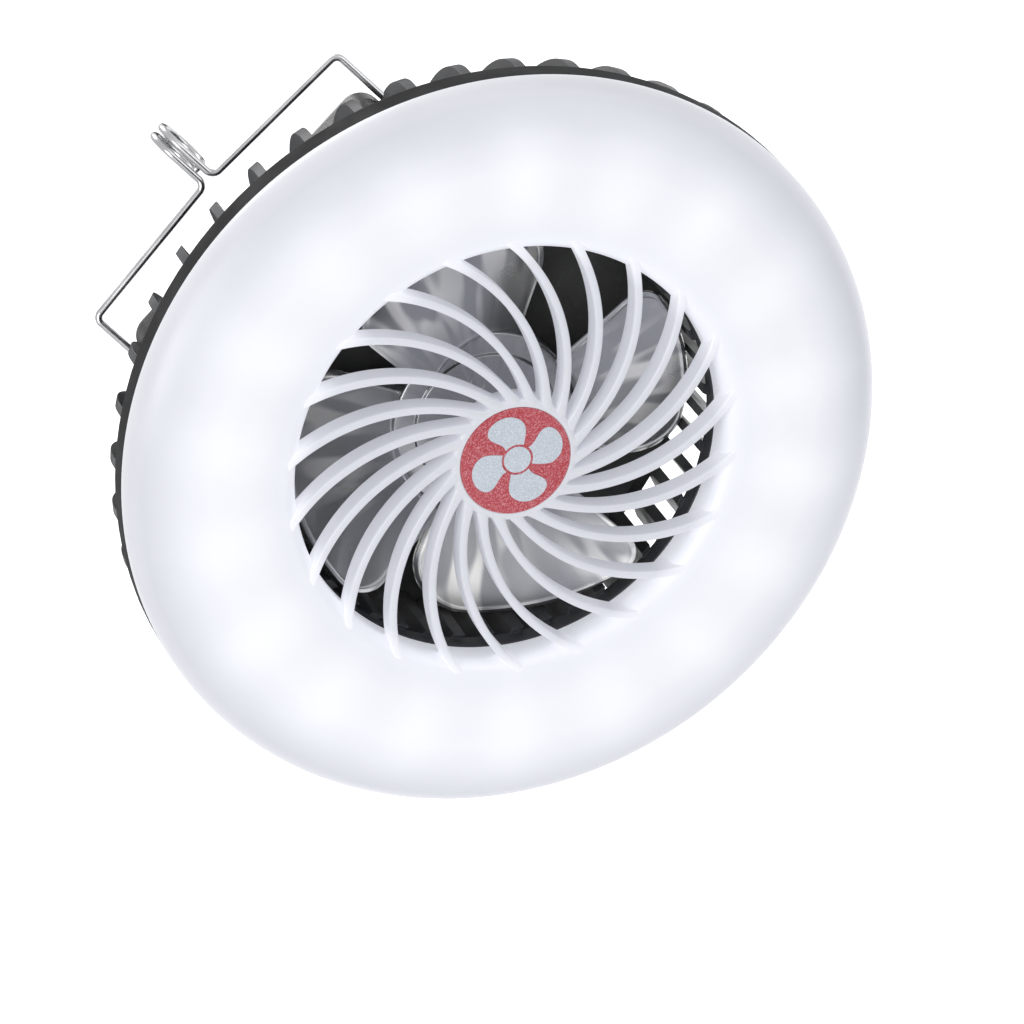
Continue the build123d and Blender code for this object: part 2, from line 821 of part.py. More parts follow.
with BuildPart() as motor_end_cap:
    ring(end_cap_radius, 0, end_cap_front, plate_front)
    ring(end_cap_well, 0, end_cap_front, rear_bush_front, mode=Mode.SUBTRACT)
    ring(
        rear_bush_radius + press_fit,
        0,
        rear_bush_front,
        rear_bush_front + rear_bush_length,
        mode=Mode.SUBTRACT,
    )
    for x in (-motor_screw_offset, motor_screw_offset):
        post(x, 0, screw_radius + thread_fit, motor_screw_tip, plate_front, mode=Mode.SUBTRACT)
motor_end_cap.part.label = "motor_end_cap"
export_step(motor_end_cap.part, "parts/motor_end_cap.step")

with BuildPart() as motor_bushes:
    ring(front_bush_radius, shaft_radius + run_fit, bush_front, bush_front + bush_length)
    ring(
        rear_bush_radius,
        shaft_radius + run_fit,
        rear_bush_front,
        rear_bush_front + rear_bush_length,
    )
motor_bushes.part.label = "motor_bushes"
export_step(motor_bushes.part, "parts/motor_bushes.step")

with BuildPart() as motor_magnets:
    ring(can_radius - can_wall - run_fit, magnet_inner, magnet_front, magnet_back)
    block(
        -can_radius,
        can_radius,
        -magnet_split / 2,
        magnet_split / 2,
        magnet_front,
        magnet_back,
        mode=Mode.SUBTRACT,
    )
motor_magnets.part.label = "motor_magnets"
export_step(motor_magnets.part, "parts/motor_magnets.step")

with BuildPart() as motor_shaft:
    ring(shaft_radius, 0, shaft_front, shaft_back)
    chamfer(motor_shaft.edges().filter_by(GeomType.CIRCLE), length=shaft_radius / 5)
motor_shaft.part.label = "motor_shaft"
export_step(motor_shaft.part, "parts/motor_shaft.step")

with BuildPart() as armature:
    ring(armature_core, shaft_radius + press_fit, armature_front, armature_back)
    for index in range(pole_count):
        with BuildSketch(face_plane(armature_back)) as pole_plan:
            with PolarLocations(
                (armature_core + armature_radius - pole_shoe) / 2 - press_fit,
                1,
                90 + index * 360 / pole_count,
            ):
                Rectangle(armature_radius - armature_core, pole_width)
        extrude(amount=armature_back - armature_front)
    with BuildSketch(face_plane(armature_back)) as shoes:
        Circle(armature_radius)
        Circle(armature_radius - pole_shoe, mode=Mode.SUBTRACT)
        with PolarLocations(armature_radius, pole_count, 90 + 180 / pole_count):
            Rectangle(4 * pole_shoe, pole_shoe_gap, mode=Mode.SUBTRACT)
    extrude(amount=armature_back - armature_front)
armature.part.label = "armature"
export_step(armature.part, "parts/armature.step")

with BuildPart() as armature_coils:
    for index in range(pole_count):
        with BuildSketch(face_plane(armature_back + coil_overhang - coil_overhang / 2)) as coil_plan:
            with PolarLocations((coil_inner + coil_outer) / 2 + pole_shoe / 4, 1, 90 + index * 360 / pole_count):
                Rectangle(coil_outer - coil_inner - pole_shoe / 2, 2 * coil_half_width)
        extrude(amount=armature_back - armature_front + coil_overhang)
        with BuildSketch(face_plane(armature_back)) as pole_slot:
            with PolarLocations((coil_inner + coil_outer) / 2, 1, 90 + index * 360 / pole_count):
                Rectangle(2 * (coil_outer - coil_inner), pole_width + 2 * press_fit)
        extrude(amount=armature_back - armature_front, mode=Mode.SUBTRACT)
armature_coils.part.label = "armature_coils"
export_step(armature_coils.part, "parts/armature_coils.step")

with BuildPart() as commutator:
    ring(commutator_radius, shaft_radius + press_fit, commutator_front, commutator_back)
commutator.part.label = "commutator"
export_step(commutator.part, "parts/commutator.step")

# ------------------------------------------------------------------ impeller
with BuildPart() as blade_form:
    for distance, middle, slope in blade_stations:
        with BuildSketch(side_plane(0).offset(distance)) as blade_section:
            left_front = middle + slope * blade_section_half - blade_thickness / 2
            right_front = middle - slope * blade_section_half - blade_thickness / 2
            crest = middle + blade_camber * (blade_section_half / blade_tip) ** 2 * 2
            with BuildLine():
                ThreePointArc(
                    (-blade_section_half, -left_front),
                    (0, -(crest - blade_thickness / 2)),
                    (blade_section_half, -right_front),
                )
                Line(
                    (blade_section_half, -right_front),
                    (blade_section_half, -right_front - blade_thickness),
                )
                ThreePointArc(
                    (blade_section_half, -right_front - blade_thickness),
                    (0, -(crest + blade_thickness / 2)),
                    (-blade_section_half, -left_front - blade_thickness),
                )
                Line(
                    (-blade_section_half, -left_front - blade_thickness),
                    (-blade_section_half, -left_front),
                )
            make_face()
    loft()
    with BuildSketch(face_plane(hub_back + hub_radius)) as planform:
        with BuildLine():
            ThreePointArc(
                polar(blade_tip, -blade_tip_half), (blade_tip, 0), polar(blade_tip, blade_tip_half)
            )
            Line(polar(blade_tip, blade_tip_half), polar(blade_root, blade_root_half))
            ThreePointArc(
                polar(blade_root, blade_root_half),
                (blade_root, 0),
                polar(blade_root, -blade_root_half),
            )
            Line(polar(blade_root, -blade_root_half), polar(blade_tip, -blade_tip_half))
        make_face()
        front_corner = planform.vertices().sort_by_distance(polar(blade_tip, blade_tip_half))[0]
        fillet(front_corner, radius=blade_corner_front)
        back_corner = planform.vertices().sort_by_distance(polar(blade_tip, -blade_tip_half))[0]
        fillet(back_corner, radius=blade_corner_back)
    extrude(amount=2 * (hub_back + hub_radius), mode=Mode.INTERSECT)

with BuildPart() as impeller:
    with BuildSketch(side_plane(0)) as hub_section:
        with BuildLine():
            Polyline(
                (0, -hub_step_front),
                (hub_step_radius, -hub_step_front),
                (hub_step_radius, -hub_front),
                (hub_radius, -hub_front),
                (hub_radius, -hub_back),
                (hub_radius - hub_wall, -hub_back),
                (hub_radius - hub_wall, -hub_front - hub_wall),
                (hub_step_radius - hub_wall, -hub_front - hub_wall),
                (hub_step_radius - hub_wall, -hub_step_front - hub_wall),
                (hub_boss_radius, -hub_step_front - hub_wall),
                (hub_boss_radius, -hub_boss_back),
                (0, -hub_boss_back),
                close=True,
            )
        make_face()
    revolve(axis=fan_axis)
    add(
        [
            blade_form.part.rotate(fan_axis, blade_angle + index * 360 / blade_count)
            for index in range(blade_count)
        ]
    )
    with BuildSketch(face_plane(hub_step_front + hub_mark_depth)) as marks:
        with PolarLocations(hub_mark_radius, blade_count, blade_angle):
            Circle(hub_mark_size)
    extrude(amount=2 * hub_mark_depth, mode=Mode.SUBTRACT)
    ring(shaft_radius + press_fit, 0, hub_step_front, hub_boss_back, mode=Mode.SUBTRACT)
impeller.part.label = "impeller"
export_step(impeller.part, "parts/impeller.step")

with BuildPart() as impeller_cap:
    ring(cap_radius, 0, cap_front, hub_step_front)
    fillet(impeller_cap.edges().sort_by(Axis.Y)[0], radius=cap_round)
    ring(shaft_radius + press_fit, 0, cap_bore_front, hub_step_front, mode=Mode.SUBTRACT)
impeller_cap.part.label = "impeller_cap"
export_step(impeller_cap.part, "parts/impeller_cap.step")

# ------------------------------------------------------------------ wire bail
along = Vector(0, tilt_sin, tilt_cos)
bail_plane = Plane(origin=(0, pivot_y, pivot_z), x_dir=(1, 0, 0), z_dir=(0, -tilt_cos, tilt_sin))
turn_origin = along * -eye_radius
turn_plane = Plane(origin=turn_origin, x_dir=(1, 0, 0), z_dir=(0, -tilt_sin, -tilt_cos))
with BuildPart() as wire_bail:
    with BuildLine() as bail_path:
        for side in (-1, 1):
            with BuildLine(bail_plane) as leg_path:
                FilletPolyline(
                    (side * stub_end, 0),
                    (side * leg_x, 0),
                    (side * leg_x, leg_length),
                    (side * eye_half_pitch, bar_peak),
                    (side * eye_half_pitch, eye_along),
                    radius=[stub_bend, corner_bend, stem_bend],
                )
            loop_plane = Plane(
                origin=(side * eye_half_pitch, 0, 0),
                x_dir=(0, tilt_sin, tilt_cos),
                z_dir=(1, 0, 0),
            )
            with BuildLine(loop_plane) as loop_path:
                CenterArc((0, 0), eye_radius, start_angle=90, arc_size=-270)
        with BuildLine(turn_plane) as turn_path:
            CenterArc((0, 0), eye_half_pitch, start_angle=0, arc_size=180)
    start_plane = Plane(origin=(stub_end, pivot_y, pivot_z), z_dir=(1, 0, 0))
    with BuildSketch(start_plane) as wire_section:
        Circle(wire_radius)
    sweep(path=bail_path.wires()[0])
wire_bail.part.label = "wire_bail"
export_step(wire_bail.part, "parts/wire_bail.step")

wire_length = bail_path.wires()[0].length
print("wire length", round(wire_length, 1))
print("wire volume ratio", round(wire_bail.part.volume / (wire_length * math.pi * wire_radius**2), 4))
print("joint plane y", round(joint_y, 3), "fan axis z", round(fan_z, 3))
print("pivot y, z", round(pivot_y, 3), round(pivot_z, 3))
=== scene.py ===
"""Portable hanging fan with a ring light: finish, new surfaces, lights and camera around the parts.

Lengths in the shape functions are millimetres. `across` is x, `up` is the height above the fan
axis and `back` is the distance behind the joint between the light ring and the rear housing, so
the front of the fan has negative `back`.
"""
import math

import bmesh
import bpy
import numpy as np
from mathutils import Matrix, Vector

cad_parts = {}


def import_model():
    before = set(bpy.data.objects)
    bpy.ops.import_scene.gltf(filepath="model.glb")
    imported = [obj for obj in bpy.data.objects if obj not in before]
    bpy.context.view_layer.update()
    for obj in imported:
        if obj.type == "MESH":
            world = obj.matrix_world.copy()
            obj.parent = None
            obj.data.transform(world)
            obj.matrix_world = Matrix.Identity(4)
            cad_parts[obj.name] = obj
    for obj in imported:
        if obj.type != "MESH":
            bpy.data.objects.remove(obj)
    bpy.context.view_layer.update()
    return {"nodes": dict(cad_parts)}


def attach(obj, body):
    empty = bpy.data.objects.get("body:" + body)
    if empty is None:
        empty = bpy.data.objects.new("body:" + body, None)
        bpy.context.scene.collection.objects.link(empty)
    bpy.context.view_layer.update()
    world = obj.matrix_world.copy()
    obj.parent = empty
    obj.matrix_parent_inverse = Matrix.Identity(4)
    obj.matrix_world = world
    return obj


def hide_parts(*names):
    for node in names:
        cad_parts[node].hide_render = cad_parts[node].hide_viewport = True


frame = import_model()
nodes = frame["nodes"]
scene = bpy.context.scene
scene.view_settings.view_transform = "Standard"

# ------------------------------------------------------------------ places in the row frame (mm)
MM = 0.001
BAIL_TILT = math.radians(21.8)
TILT_SIN, TILT_COS = math.sin(BAIL_TILT), math.cos(BAIL_TILT)
EYE_ALONG, EYE_BEHIND, EYE_RADIUS, EYE_HALF_PITCH = 39.2, 7.0, 7.0, 1.55
PIVOT_UP, PIVOT_BACK = 72.0, 27.6
PIVOT_Y = -(EYE_ALONG * TILT_SIN + EYE_BEHIND * TILT_COS)
PIVOT_Z = -(EYE_ALONG * TILT_COS - EYE_BEHIND * TILT_SIN)
FAN_Z = PIVOT_Z - PIVOT_UP
JOINT_Y = PIVOT_Y - PIVOT_BACK

# light ring
RIM, CROWN, CROWN_HEIGHT, LIP, LIP_ROUND, WALL = 105.0, 82.0, 12.0, 59.8, 4.5, 2.0
LIP_HEIGHT, RIM_LAND = 9.7, 0.5
SKIRT, SKIRT_REAR, SKIRT_FRONT, SKIRT_ROUND = 102.8, 3.0, -5.0, 0.4
SNAP_COUNT, SNAP_ANGLE, SNAP_HALF_ANGLE = 6, 4.5, 0.045
SNAP_SECTION = ((102.0, 1.4), (103.75, 1.5), (103.75, 2.5), (102.0, 2.6), (102.0, 1.4))
CHIP_COUNT, CHIP_ANGLE = 18, 4.7

# grille
RIB_COUNT, RIB_RADII, RIB_ANGLES = 22, (16.4, 38.0, 66.0), (-3.5, 24.6, 49.7)
RIB_FRONT, RIB_REAR, RIB_SHOULDER, RIB_CHAMFER, RIB_HALF = 10.4, 4.5, 1.35, 0.35, 1.14
HUB, HUB_FRONT, HUB_REAR, HUB_WALL = 17.6, 10.4, 3.0, 2.0
SEAT, SEAT_FRONT = 15.42, 9.9

# impeller
BLADE_COUNT, BLADE_ANGLE, BLADE_HALF = 4, 57.0, 0.7
BLADE_TIP, BLADE_ROOT, TIP_HALF_ANGLE, ROOT_HALF_ANGLE = 57.4, 25.2, 35.5, 39.0
BLADE_CORNERS = (14.0, 8.0)
BLADE_STATIONS = ((16.0, 11.6, 0.5), (30.0, 11.0, 0.42), (44.0, 10.4, 0.345), (60.0, 9.8, 0.27))
BLADE_HOLLOW, BLADE_WIDTH_HALF = 2.14, 42.0
RIDGE_INSET, RIDGE_HALF, RIDGE_HEIGHT = 1.35, 0.4, 0.24
MARK_RADIUS, MARK_SIZE, MARK_BEAD, CUP_FRONT = 12.3, 2.0, 0.16, 14.02

# bail
WIRE_END, LEG_X, LEG_LENGTH, BAR_PEAK, WIRE_RADIUS = 42.4, 47.2, 25.7, 28.1, 1.0
WIRE_BENDS = (1.6, 2.2, 2.4)

# electronics box, back plate and outer band, as the finish of the housing sees them
BOX_HALF, BOX_LOW, BOX_HIGH, FLANGE_BACK = 45.6, 58.0, 87.4, 6.1
PLATE, PLATE_OUTSIDE, BAND_INSIDE = 62.4, 32.6, 104.6


# ------------------------------------------------------------------ surfaces from arrays
def place(across, up, back):
    """Points of the row frame in metres: y is the joint plane plus back, z the axis plus up."""
    across, up, back = np.broadcast_arrays(across, up, back)
    return np.stack((across, JOINT_Y + back, FAN_Z + up), axis=-1) * MM


def rounded(corners, radii, steps=8):
    """Line through corners, each rounded by an arc.

    At a corner the arc's centre lies on the bisector, radius over the sine of half the angle
    away, and its points are centre plus radius times (cosine of t towards the corner, sine of t
    across), with t between plus and minus half of the turn.
    """
    corners = np.asarray(corners, dtype=float)
    line = [corners[:1]]
    for before, corner, after, radius in zip(corners[:-2], corners[1:-1], corners[2:], radii):
        a = (before - corner) / np.linalg.norm(before - corner)
        b = (after - corner) / np.linalg.norm(after - corner)
        half = math.acos(float(np.clip(a @ b, -1, 1))) / 2
        middle = (a + b) / np.linalg.norm(a + b)
        sideways = (b - a) / np.linalg.norm(b - a)
        t = np.linspace(-(math.pi / 2 - half), math.pi / 2 - half, steps)[:, None]
        centre = corner + middle * radius / math.sin(half)
        line.append(centre + radius * (-np.cos(t) * middle + np.sin(t) * sideways))
    line.append(corners[-1:])
    return np.concatenate(line)


def turned(profile, around=256):
    """Profile of (radius, back) carried round the fan axis: across and up are the radius times
    the cosine and the sine of the angle."""
    angle = np.linspace(0, 2 * np.pi, around + 1)
    radius, back = np.asarray(profile, dtype=float).T[:, :, None]
    return place(radius * np.cos(angle), radius * np.sin(angle), back)


def closed(profile):
    """The same line with its first point again at the end."""
    return np.concatenate((profile, profile[:1]))


def capped(sheet):
    """A tube's grid with both ends closed: one more row at each end, all at the row's middle."""

    def end(row):
        return np.broadcast_to(row[..., :-1, :].mean(axis=-2, keepdims=True), row.shape)

    return np.concatenate((end(sheet[..., :1, :, :]), sheet, end(sheet[..., -1:, :, :])), axis=-3)


def tube(path, radius, around=20):
    """Round section carried along a path: path plus radius times (cosine times side, sine times
    lift), where side and lift are carried on from point to point without twist."""
    ahead = np.gradient(path, axis=0)
    ahead /= np.linalg.norm(ahead, axis=1, keepdims=True)
    side = np.empty_like(path)
    carried = np.array((0.0, TILT_COS, -TILT_SIN))    # square to the bail's plane
    for number, direction in enumerate(ahead):
        carried = carried - direction * (carried @ direction)
        carried /= np.linalg.norm(carried)
        side[number] = carried
    lift = np.cross(ahead, side)
    angle = np.linspace(0, 2 * np.pi, around + 1)[None, :, None]
    return path[:, None] + radius * (np.cos(angle) * side[:, None] + np.sin(angle) * lift[:, None])


def piece(name, sheets, finish, body, stands_for=(), crease=40.0):
    """One mesh from point grids shaped (..., rows, columns, 3), in metres.

    Each grid cell is a four-sided face. Points that meet at seams and poles are merged, then the
    normals are turned outwards. The map `run` holds the row and column as fractions.
    """
    points, faces, runs, first = [], [], [], 0
    for sheet in sheets:
        sheet = sheet.reshape(-1, *sheet.shape[-3:])
        many, rows, columns = sheet.shape[:3]
        number = first + np.arange(many * rows * columns).reshape(many, rows, columns)
        first += number.size
        corners = (number[:, :-1, :-1], number[:, :-1, 1:], number[:, 1:, 1:], number[:, 1:, :-1])
        faces.append(np.stack(corners, axis=-1).reshape(-1, 4))
        points.append(sheet.reshape(-1, 3))
        shares = np.linspace(0, 1, rows), np.linspace(0, 1, columns)
        run = np.stack(np.meshgrid(*shares, indexing="ij"), -1)
        runs.append(np.broadcast_to(run, (many, rows, columns, 2)).reshape(-1, 2))
    points, faces, runs = map(np.concatenate, (points, faces, runs))
    mesh = bpy.data.meshes.new(name)
    mesh.from_pydata(points.tolist(), [], faces.tolist())
    mesh.uv_layers.new(name="run").data.foreach_set("uv", runs[faces.ravel()].ravel())
    work = bmesh.new()
    work.from_mesh(mesh)
    bmesh.ops.remove_doubles(work, verts=work.verts, dist=2e-6)
    bmesh.ops.recalc_face_normals(work, faces=work.faces)
    work.to_mesh(mesh)
    work.free()
    mesh.shade_smooth()
    mesh.set_sharp_from_angle(angle=math.radians(crease))
    mesh.materials.append(finish)
    made = bpy.data.objects.new(name, mesh)
    scene.collection.objects.link(made)
    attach(made, body)
    if stands_for:
        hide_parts(*stands_for)
    return made


# ------------------------------------------------------------------ shapes: light ring and grille
def ring_profile():
    """Closed wall section of the light ring as (radius, back).

    Outside: an upright land, a quarter ellipse up to the crown, a long arc down to the lip and a
    round edge into the air opening. Inside: the same curves, one wall thickness in.
    """
    drop = CROWN_HEIGHT - LIP_HEIGHT
    long_radius = ((CROWN - LIP) ** 2 + drop**2) / (2 * drop)
    arc_height = CROWN_HEIGHT - long_radius
    edge_radius = LIP + LIP_ROUND
    edge_height = arc_height + math.sqrt((long_radius - LIP_ROUND) ** 2 - (edge_radius - CROWN) ** 2)
    lean = math.atan2(edge_radius - CROWN, edge_height - arc_height)

    def face(inset):
        t = np.linspace(0, np.pi / 2, 40)
        shoulder = np.stack(
            (
                CROWN + (RIM - inset - CROWN) * np.cos(t),
                RIM_LAND + (CROWN_HEIGHT - inset - RIM_LAND) * np.sin(t),
            ),
            -1,
        )
        t = np.linspace(0, lean, 22)[1:]
        reach = long_radius - inset
        long_arc = np.stack((CROWN + reach * np.sin(t), arc_height + reach * np.cos(t)), -1)
        t = np.linspace(lean, -np.pi / 2, 18)[1:]
        edge = np.stack(
            (
                edge_radius + (LIP_ROUND - inset) * np.sin(t),
                edge_height + (LIP_ROUND - inset) * np.cos(t),
            ),
            -1,
        )
        return np.concatenate((shoulder, long_arc, edge))

    outside, inside = face(0.0), face(WALL)
    line = np.concatenate(
        (
            [(RIM - 0.35, 0.0), (RIM - 0.08, 0.12)],
            outside,
            [(LIP, 0.2), (LIP + 0.3, -0.2), (LIP + WALL - 0.3, -0.2), (LIP + WALL, 0.2)],
            inside[::-1],
            [(RIM - WALL, 0.0)],
        )
    )
    return closed(line * (1, -1))


def grille_ribs():
    """All ribs at once, each a rounded bar carried along an arc in the face plane.

    The arc goes through three points (radius, angle). The section is a superellipse front on an
    upright bar; it swells towards both ends, where the bar flows into the hub and the ring.
    """
    radii, angles = np.array(RIB_RADII), np.radians(RIB_ANGLES)
    a, b, c = np.stack((radii * np.cos(angles), radii * np.sin(angles)), -1)
    sides = np.array((b - a, c - a)) * 2
    centre = np.linalg.solve(sides, (b @ b - a @ a, c @ c - a @ a))
    radius = np.linalg.norm(a - centre)
    start, end = (math.atan2(*(point - centre)[::-1]) for point in (a, c))
    t = np.linspace(0, 1, 56)
    heading = start + (end - start) * t
    out = np.stack((np.cos(heading), np.sin(heading)), -1)
    path = centre + radius * out
    front = RIB_FRONT + 0.35 * np.sin(np.pi * t) - 0.7 * np.clip((t - 0.85) / 0.15, 0, 1) ** 2
    half = (RIB_HALF + 0.7 * np.exp(-t / 0.045) + 1.2 * np.exp((t - 1) / 0.05))[:, None]
    turn = np.linspace(0, np.pi, 19)
    rise = np.abs(np.sin(turn)) ** 0.62
    sweep = np.sign(np.cos(turn)) * np.abs(np.cos(turn)) ** 0.55
    crest = (front - RIB_SHOULDER)[:, None] + RIB_SHOULDER * rise
    foot = np.full_like(half, RIB_REAR)
    loop_side = np.concatenate((half * sweep, -half * (1.0, 0.72), half * (0.72, 1.0)), 1)
    loop_height = np.concatenate((crest, foot + (RIB_CHAMFER, 0.0), foot + (0.0, RIB_CHAMFER)), 1)
    loop_side = np.concatenate((loop_side, loop_side[:, :1]), 1)
    loop_height = np.concatenate((loop_height, loop_height[:, :1]), 1)
    step = np.arange(RIB_COUNT) * 2 * np.pi / RIB_COUNT
    across = path[:, :1] + out[:, :1] * loop_side
    up = path[:, 1:] + out[:, 1:] * loop_side
    cosine, sine = np.cos(step)[:, None, None], np.sin(step)[:, None, None]
    return capped(place(across * cosine - up * sine, across * sine + up * cosine, -loop_height))


def hub_profile():
    """Section of the grille's hub: a wall, a rounded front edge and the seat of the badge."""
    inside, seat_back = HUB - HUB_WALL, SEAT_FRONT - HUB_WALL
    outer = rounded(
        [
            (inside, -HUB_REAR),
            (HUB, -HUB_REAR),
            (HUB, -HUB_FRONT),
            (SEAT, -HUB_FRONT),
            (SEAT, -SEAT_FRONT),
            (0, -SEAT_FRONT),
        ],
        [0.4, 1.3, 0.25, 0.1],
    )
    inner = rounded([(0, -seat_back), (inside, -seat_back), (inside, -HUB_REAR)], [0.8])
    return np.concatenate((outer, inner))


def skirt_profile():
    """Closed section of the skirt that carries the light ring inside the housing's band."""
    inside = SKIRT - WALL
    corners = [(SKIRT, 0), (SKIRT, SKIRT_REAR), (inside, SKIRT_REAR), (inside, SKIRT_FRONT)]
    return closed(rounded(corners + [(SKIRT, SKIRT_FRONT), (SKIRT, 0)], [SKIRT_ROUND] * 4))


def snap_tabs():
    """Six bars round the skirt: a rectangle of radius and back carried over a short angle."""
    places = np.radians(SNAP_ANGLE + 360 / SNAP_COUNT * np.arange(SNAP_COUNT))[:, None, None]
    angle = places + np.linspace(-SNAP_HALF_ANGLE, SNAP_HALF_ANGLE, 7)[:, None]
    radius, back = np.array(SNAP_SECTION).T
    return capped(place(radius * np.cos(angle), radius * np.sin(angle), back))


# ------------------------------------------------------------------ shapes: impeller
def blade_depth(out, side):
    """Depth of a blade's middle surface: a level and a slope that change along the blade, plus a
    parabola across it that makes it hollow to the front."""
    stations, levels, slopes = np.array(BLADE_STATIONS).T
    level = np.polyval(np.polyfit(stations, levels, 3), out)
    slope = np.polyval(np.polyfit(stations, slopes, 3), out)
    return level - slope * side + BLADE_HOLLOW * (1 - (side / BLADE_WIDTH_HALF) ** 2)


def blade_angles():
    """Directions of the blades' middle lines, shaped to go with a grid of points."""
    return np.radians(BLADE_ANGLE + 360 / BLADE_COUNT * np.arange(BLADE_COUNT))[:, None, None]


def blade_outline():
    """Closed outline of one blade in its own plane, from its root round the tip."""

    def polar(radius, degrees):
        return (radius * math.cos(math.radians(degrees)), radius * math.sin(math.radians(degrees)))

    def arc(radius, first, last, count):
        t = np.radians(np.linspace(first, last, count))[1:-1]
        return np.stack((radius * np.cos(t), radius * np.sin(t)), -1)

    low_end, high_end = -20.0, 27.0    # where the round corners meet the tip's arc
    low_corner, high_corner = BLADE_CORNERS
    low = [polar(BLADE_ROOT, -ROOT_HALF_ANGLE), polar(BLADE_TIP, -TIP_HALF_ANGLE)]
    high = [polar(BLADE_TIP, TIP_HALF_ANGLE), polar(BLADE_ROOT, ROOT_HALF_ANGLE)]
    low = rounded([*low, polar(BLADE_TIP, low_end)], [low_corner], 24)
    high = rounded([polar(BLADE_TIP, high_end), *high], [high_corner], 18)
    rim = arc(BLADE_TIP, low_end, high_end, 30)
    foot = arc(BLADE_ROOT, ROOT_HALF_ANGLE, -ROOT_HALF_ANGLE, 24)
    line = closed(np.concatenate((low, rim, high, foot)))
    span = np.concatenate(((0,), np.cumsum(np.linalg.norm(np.diff(line, axis=0), axis=1))))
    even = np.linspace(0, span[-1], 161)
    return np.stack((np.interp(even, span, line[:, 0]), np.interp(even, span, line[:, 1])), -1)


def impeller_blades():
    """Four thin plates with fully rounded edges.

    Rings of points go from the plate's middle out to its outline on the front, round the edge on
    a half circle and back to the middle on the rear. The edge's half circle is one half of the
    thickness in radius, a low bell-shaped ridge runs along the edge on the front, and the
    surface is the depth function of the points.
    """
    outline = blade_outline()[:, None]
    middle = np.array((42.0, 0.0))
    inward = middle - outline[:, 0]
    inward = inward / np.linalg.norm(inward, axis=1, keepdims=True)
    inset = np.array((2.6, 2.1, 1.8, 1.5, 1.2, 0.9, BLADE_HALF))
    share = np.linspace(0, 1, 14)[:-1]
    within = outline + inward[:, None] * inset[0]
    field = middle + (within - middle) * share[None, :, None]
    field = np.concatenate((field, outline + inward[:, None] * inset[None, :, None]), axis=1)
    bell = RIDGE_HEIGHT * np.exp(-(((inset - RIDGE_INSET) / RIDGE_HALF) ** 2))
    ridge = np.concatenate((np.zeros_like(share), bell))
    turn = np.linspace(0, np.pi, 9)[1:-1]
    edge = outline + inward[:, None] * (BLADE_HALF * (1 - np.sin(turn)))[None, :, None]
    plan = np.concatenate((field, edge, field[:, ::-1]), axis=1)
    rear = np.full_like(ridge, BLADE_HALF)
    offset = np.concatenate((-BLADE_HALF - ridge, -BLADE_HALF * np.cos(turn), rear))
    out, side = plan[..., 0], plan[..., 1]
    back = blade_depth(out, side) + offset
    cosine, sine = np.cos(blade_angles()), np.sin(blade_angles())
    return place(out * cosine - side * sine, out * sine + side * cosine, back)


def impeller_hub():
    """Sections of the impeller's hub: a stepped cup with rounded edges, open to the rear."""
    return rounded(
        [
            (0, 14.0),
            (20.0, 14.0),
            (20.0, 15.2),
            (26.0, 15.2),
            (26.0, 24.0),
            (24.4, 24.0),
            (24.4, 16.8),
            (18.4, 16.8),
            (18.4, 15.6),
            (3.5, 15.6),
            (3.5, 16.9),
            (0, 16.9),
        ],
        [0.5, 0.4, 0.9, 0.3, 0.3, 0.5, 0.3, 0.3, 0.3, 0.2],
        6,
    )


def hub_marks():
    """Four low rings on the hub's face: a small half-round bead carried round each mark."""
    angle = blade_angles()
    round_mark = np.linspace(0, 2 * np.pi, 49)[:, None]
    bead = np.linspace(0, np.pi, 7)
    radius = MARK_SIZE + MARK_BEAD * np.cos(bead)
    across = MARK_RADIUS * np.cos(angle) + radius * np.cos(round_mark)
    up = MARK_RADIUS * np.sin(angle) + radius * np.sin(round_mark)
    return place(across, up, CUP_FRONT - 0.14 * np.sin(bead))


# ------------------------------------------------------------------ shapes: bail
def bail_path():
    """The wire's line: for each side a leg with three bends in the bail's plane, three quarters
    of the hook eye, and the half turn that joins both loops."""

    def leg(side):
        bends = rounded(
            [
                (side * WIRE_END, 0.0),
                (side * LEG_X, 0.0),
                (side * LEG_X, LEG_LENGTH),
                (side * EYE_HALF_PITCH, BAR_PEAK),
                (side * EYE_HALF_PITCH, EYE_ALONG),
            ],
            WIRE_BENDS,
            12,
        )
        keep = np.concatenate(((0.0,), np.cumsum(np.linalg.norm(np.diff(bends, axis=0), axis=1))))
        even = np.unique(np.concatenate((keep, np.linspace(0, keep[-1], 60))))
        x, along = (np.interp(even, keep, bends[:, column]) for column in (0, 1))
        return np.stack((x, PIVOT_Y + along * TILT_SIN, PIVOT_Z + along * TILT_COS), -1)

    def loop(side):
        t = np.radians(np.linspace(90, -180, 73))[1:]
        lengthways, forward = EYE_RADIUS * np.cos(t), EYE_RADIUS * np.sin(t)
        y = lengthways * TILT_SIN - forward * TILT_COS
        z = lengthways * TILT_COS + forward * TILT_SIN
        return np.stack((np.full_like(t, side * EYE_HALF_PITCH), y, z), -1)

    t = np.radians(np.linspace(180, 0, 17))[1:-1]
    forward = EYE_HALF_PITCH * np.sin(t)
    turn = np.stack(
        (
            EYE_HALF_PITCH * np.cos(t),
            -EYE_RADIUS * TILT_SIN - forward * TILT_COS,
            -EYE_RADIUS * TILT_COS + forward * TILT_SIN,
        ),
        -1,
    )
    left = np.concatenate((leg(-1), loop(-1)))
    right = np.concatenate((leg(1), loop(1)))
    return np.concatenate((left, turn, right[::-1]))


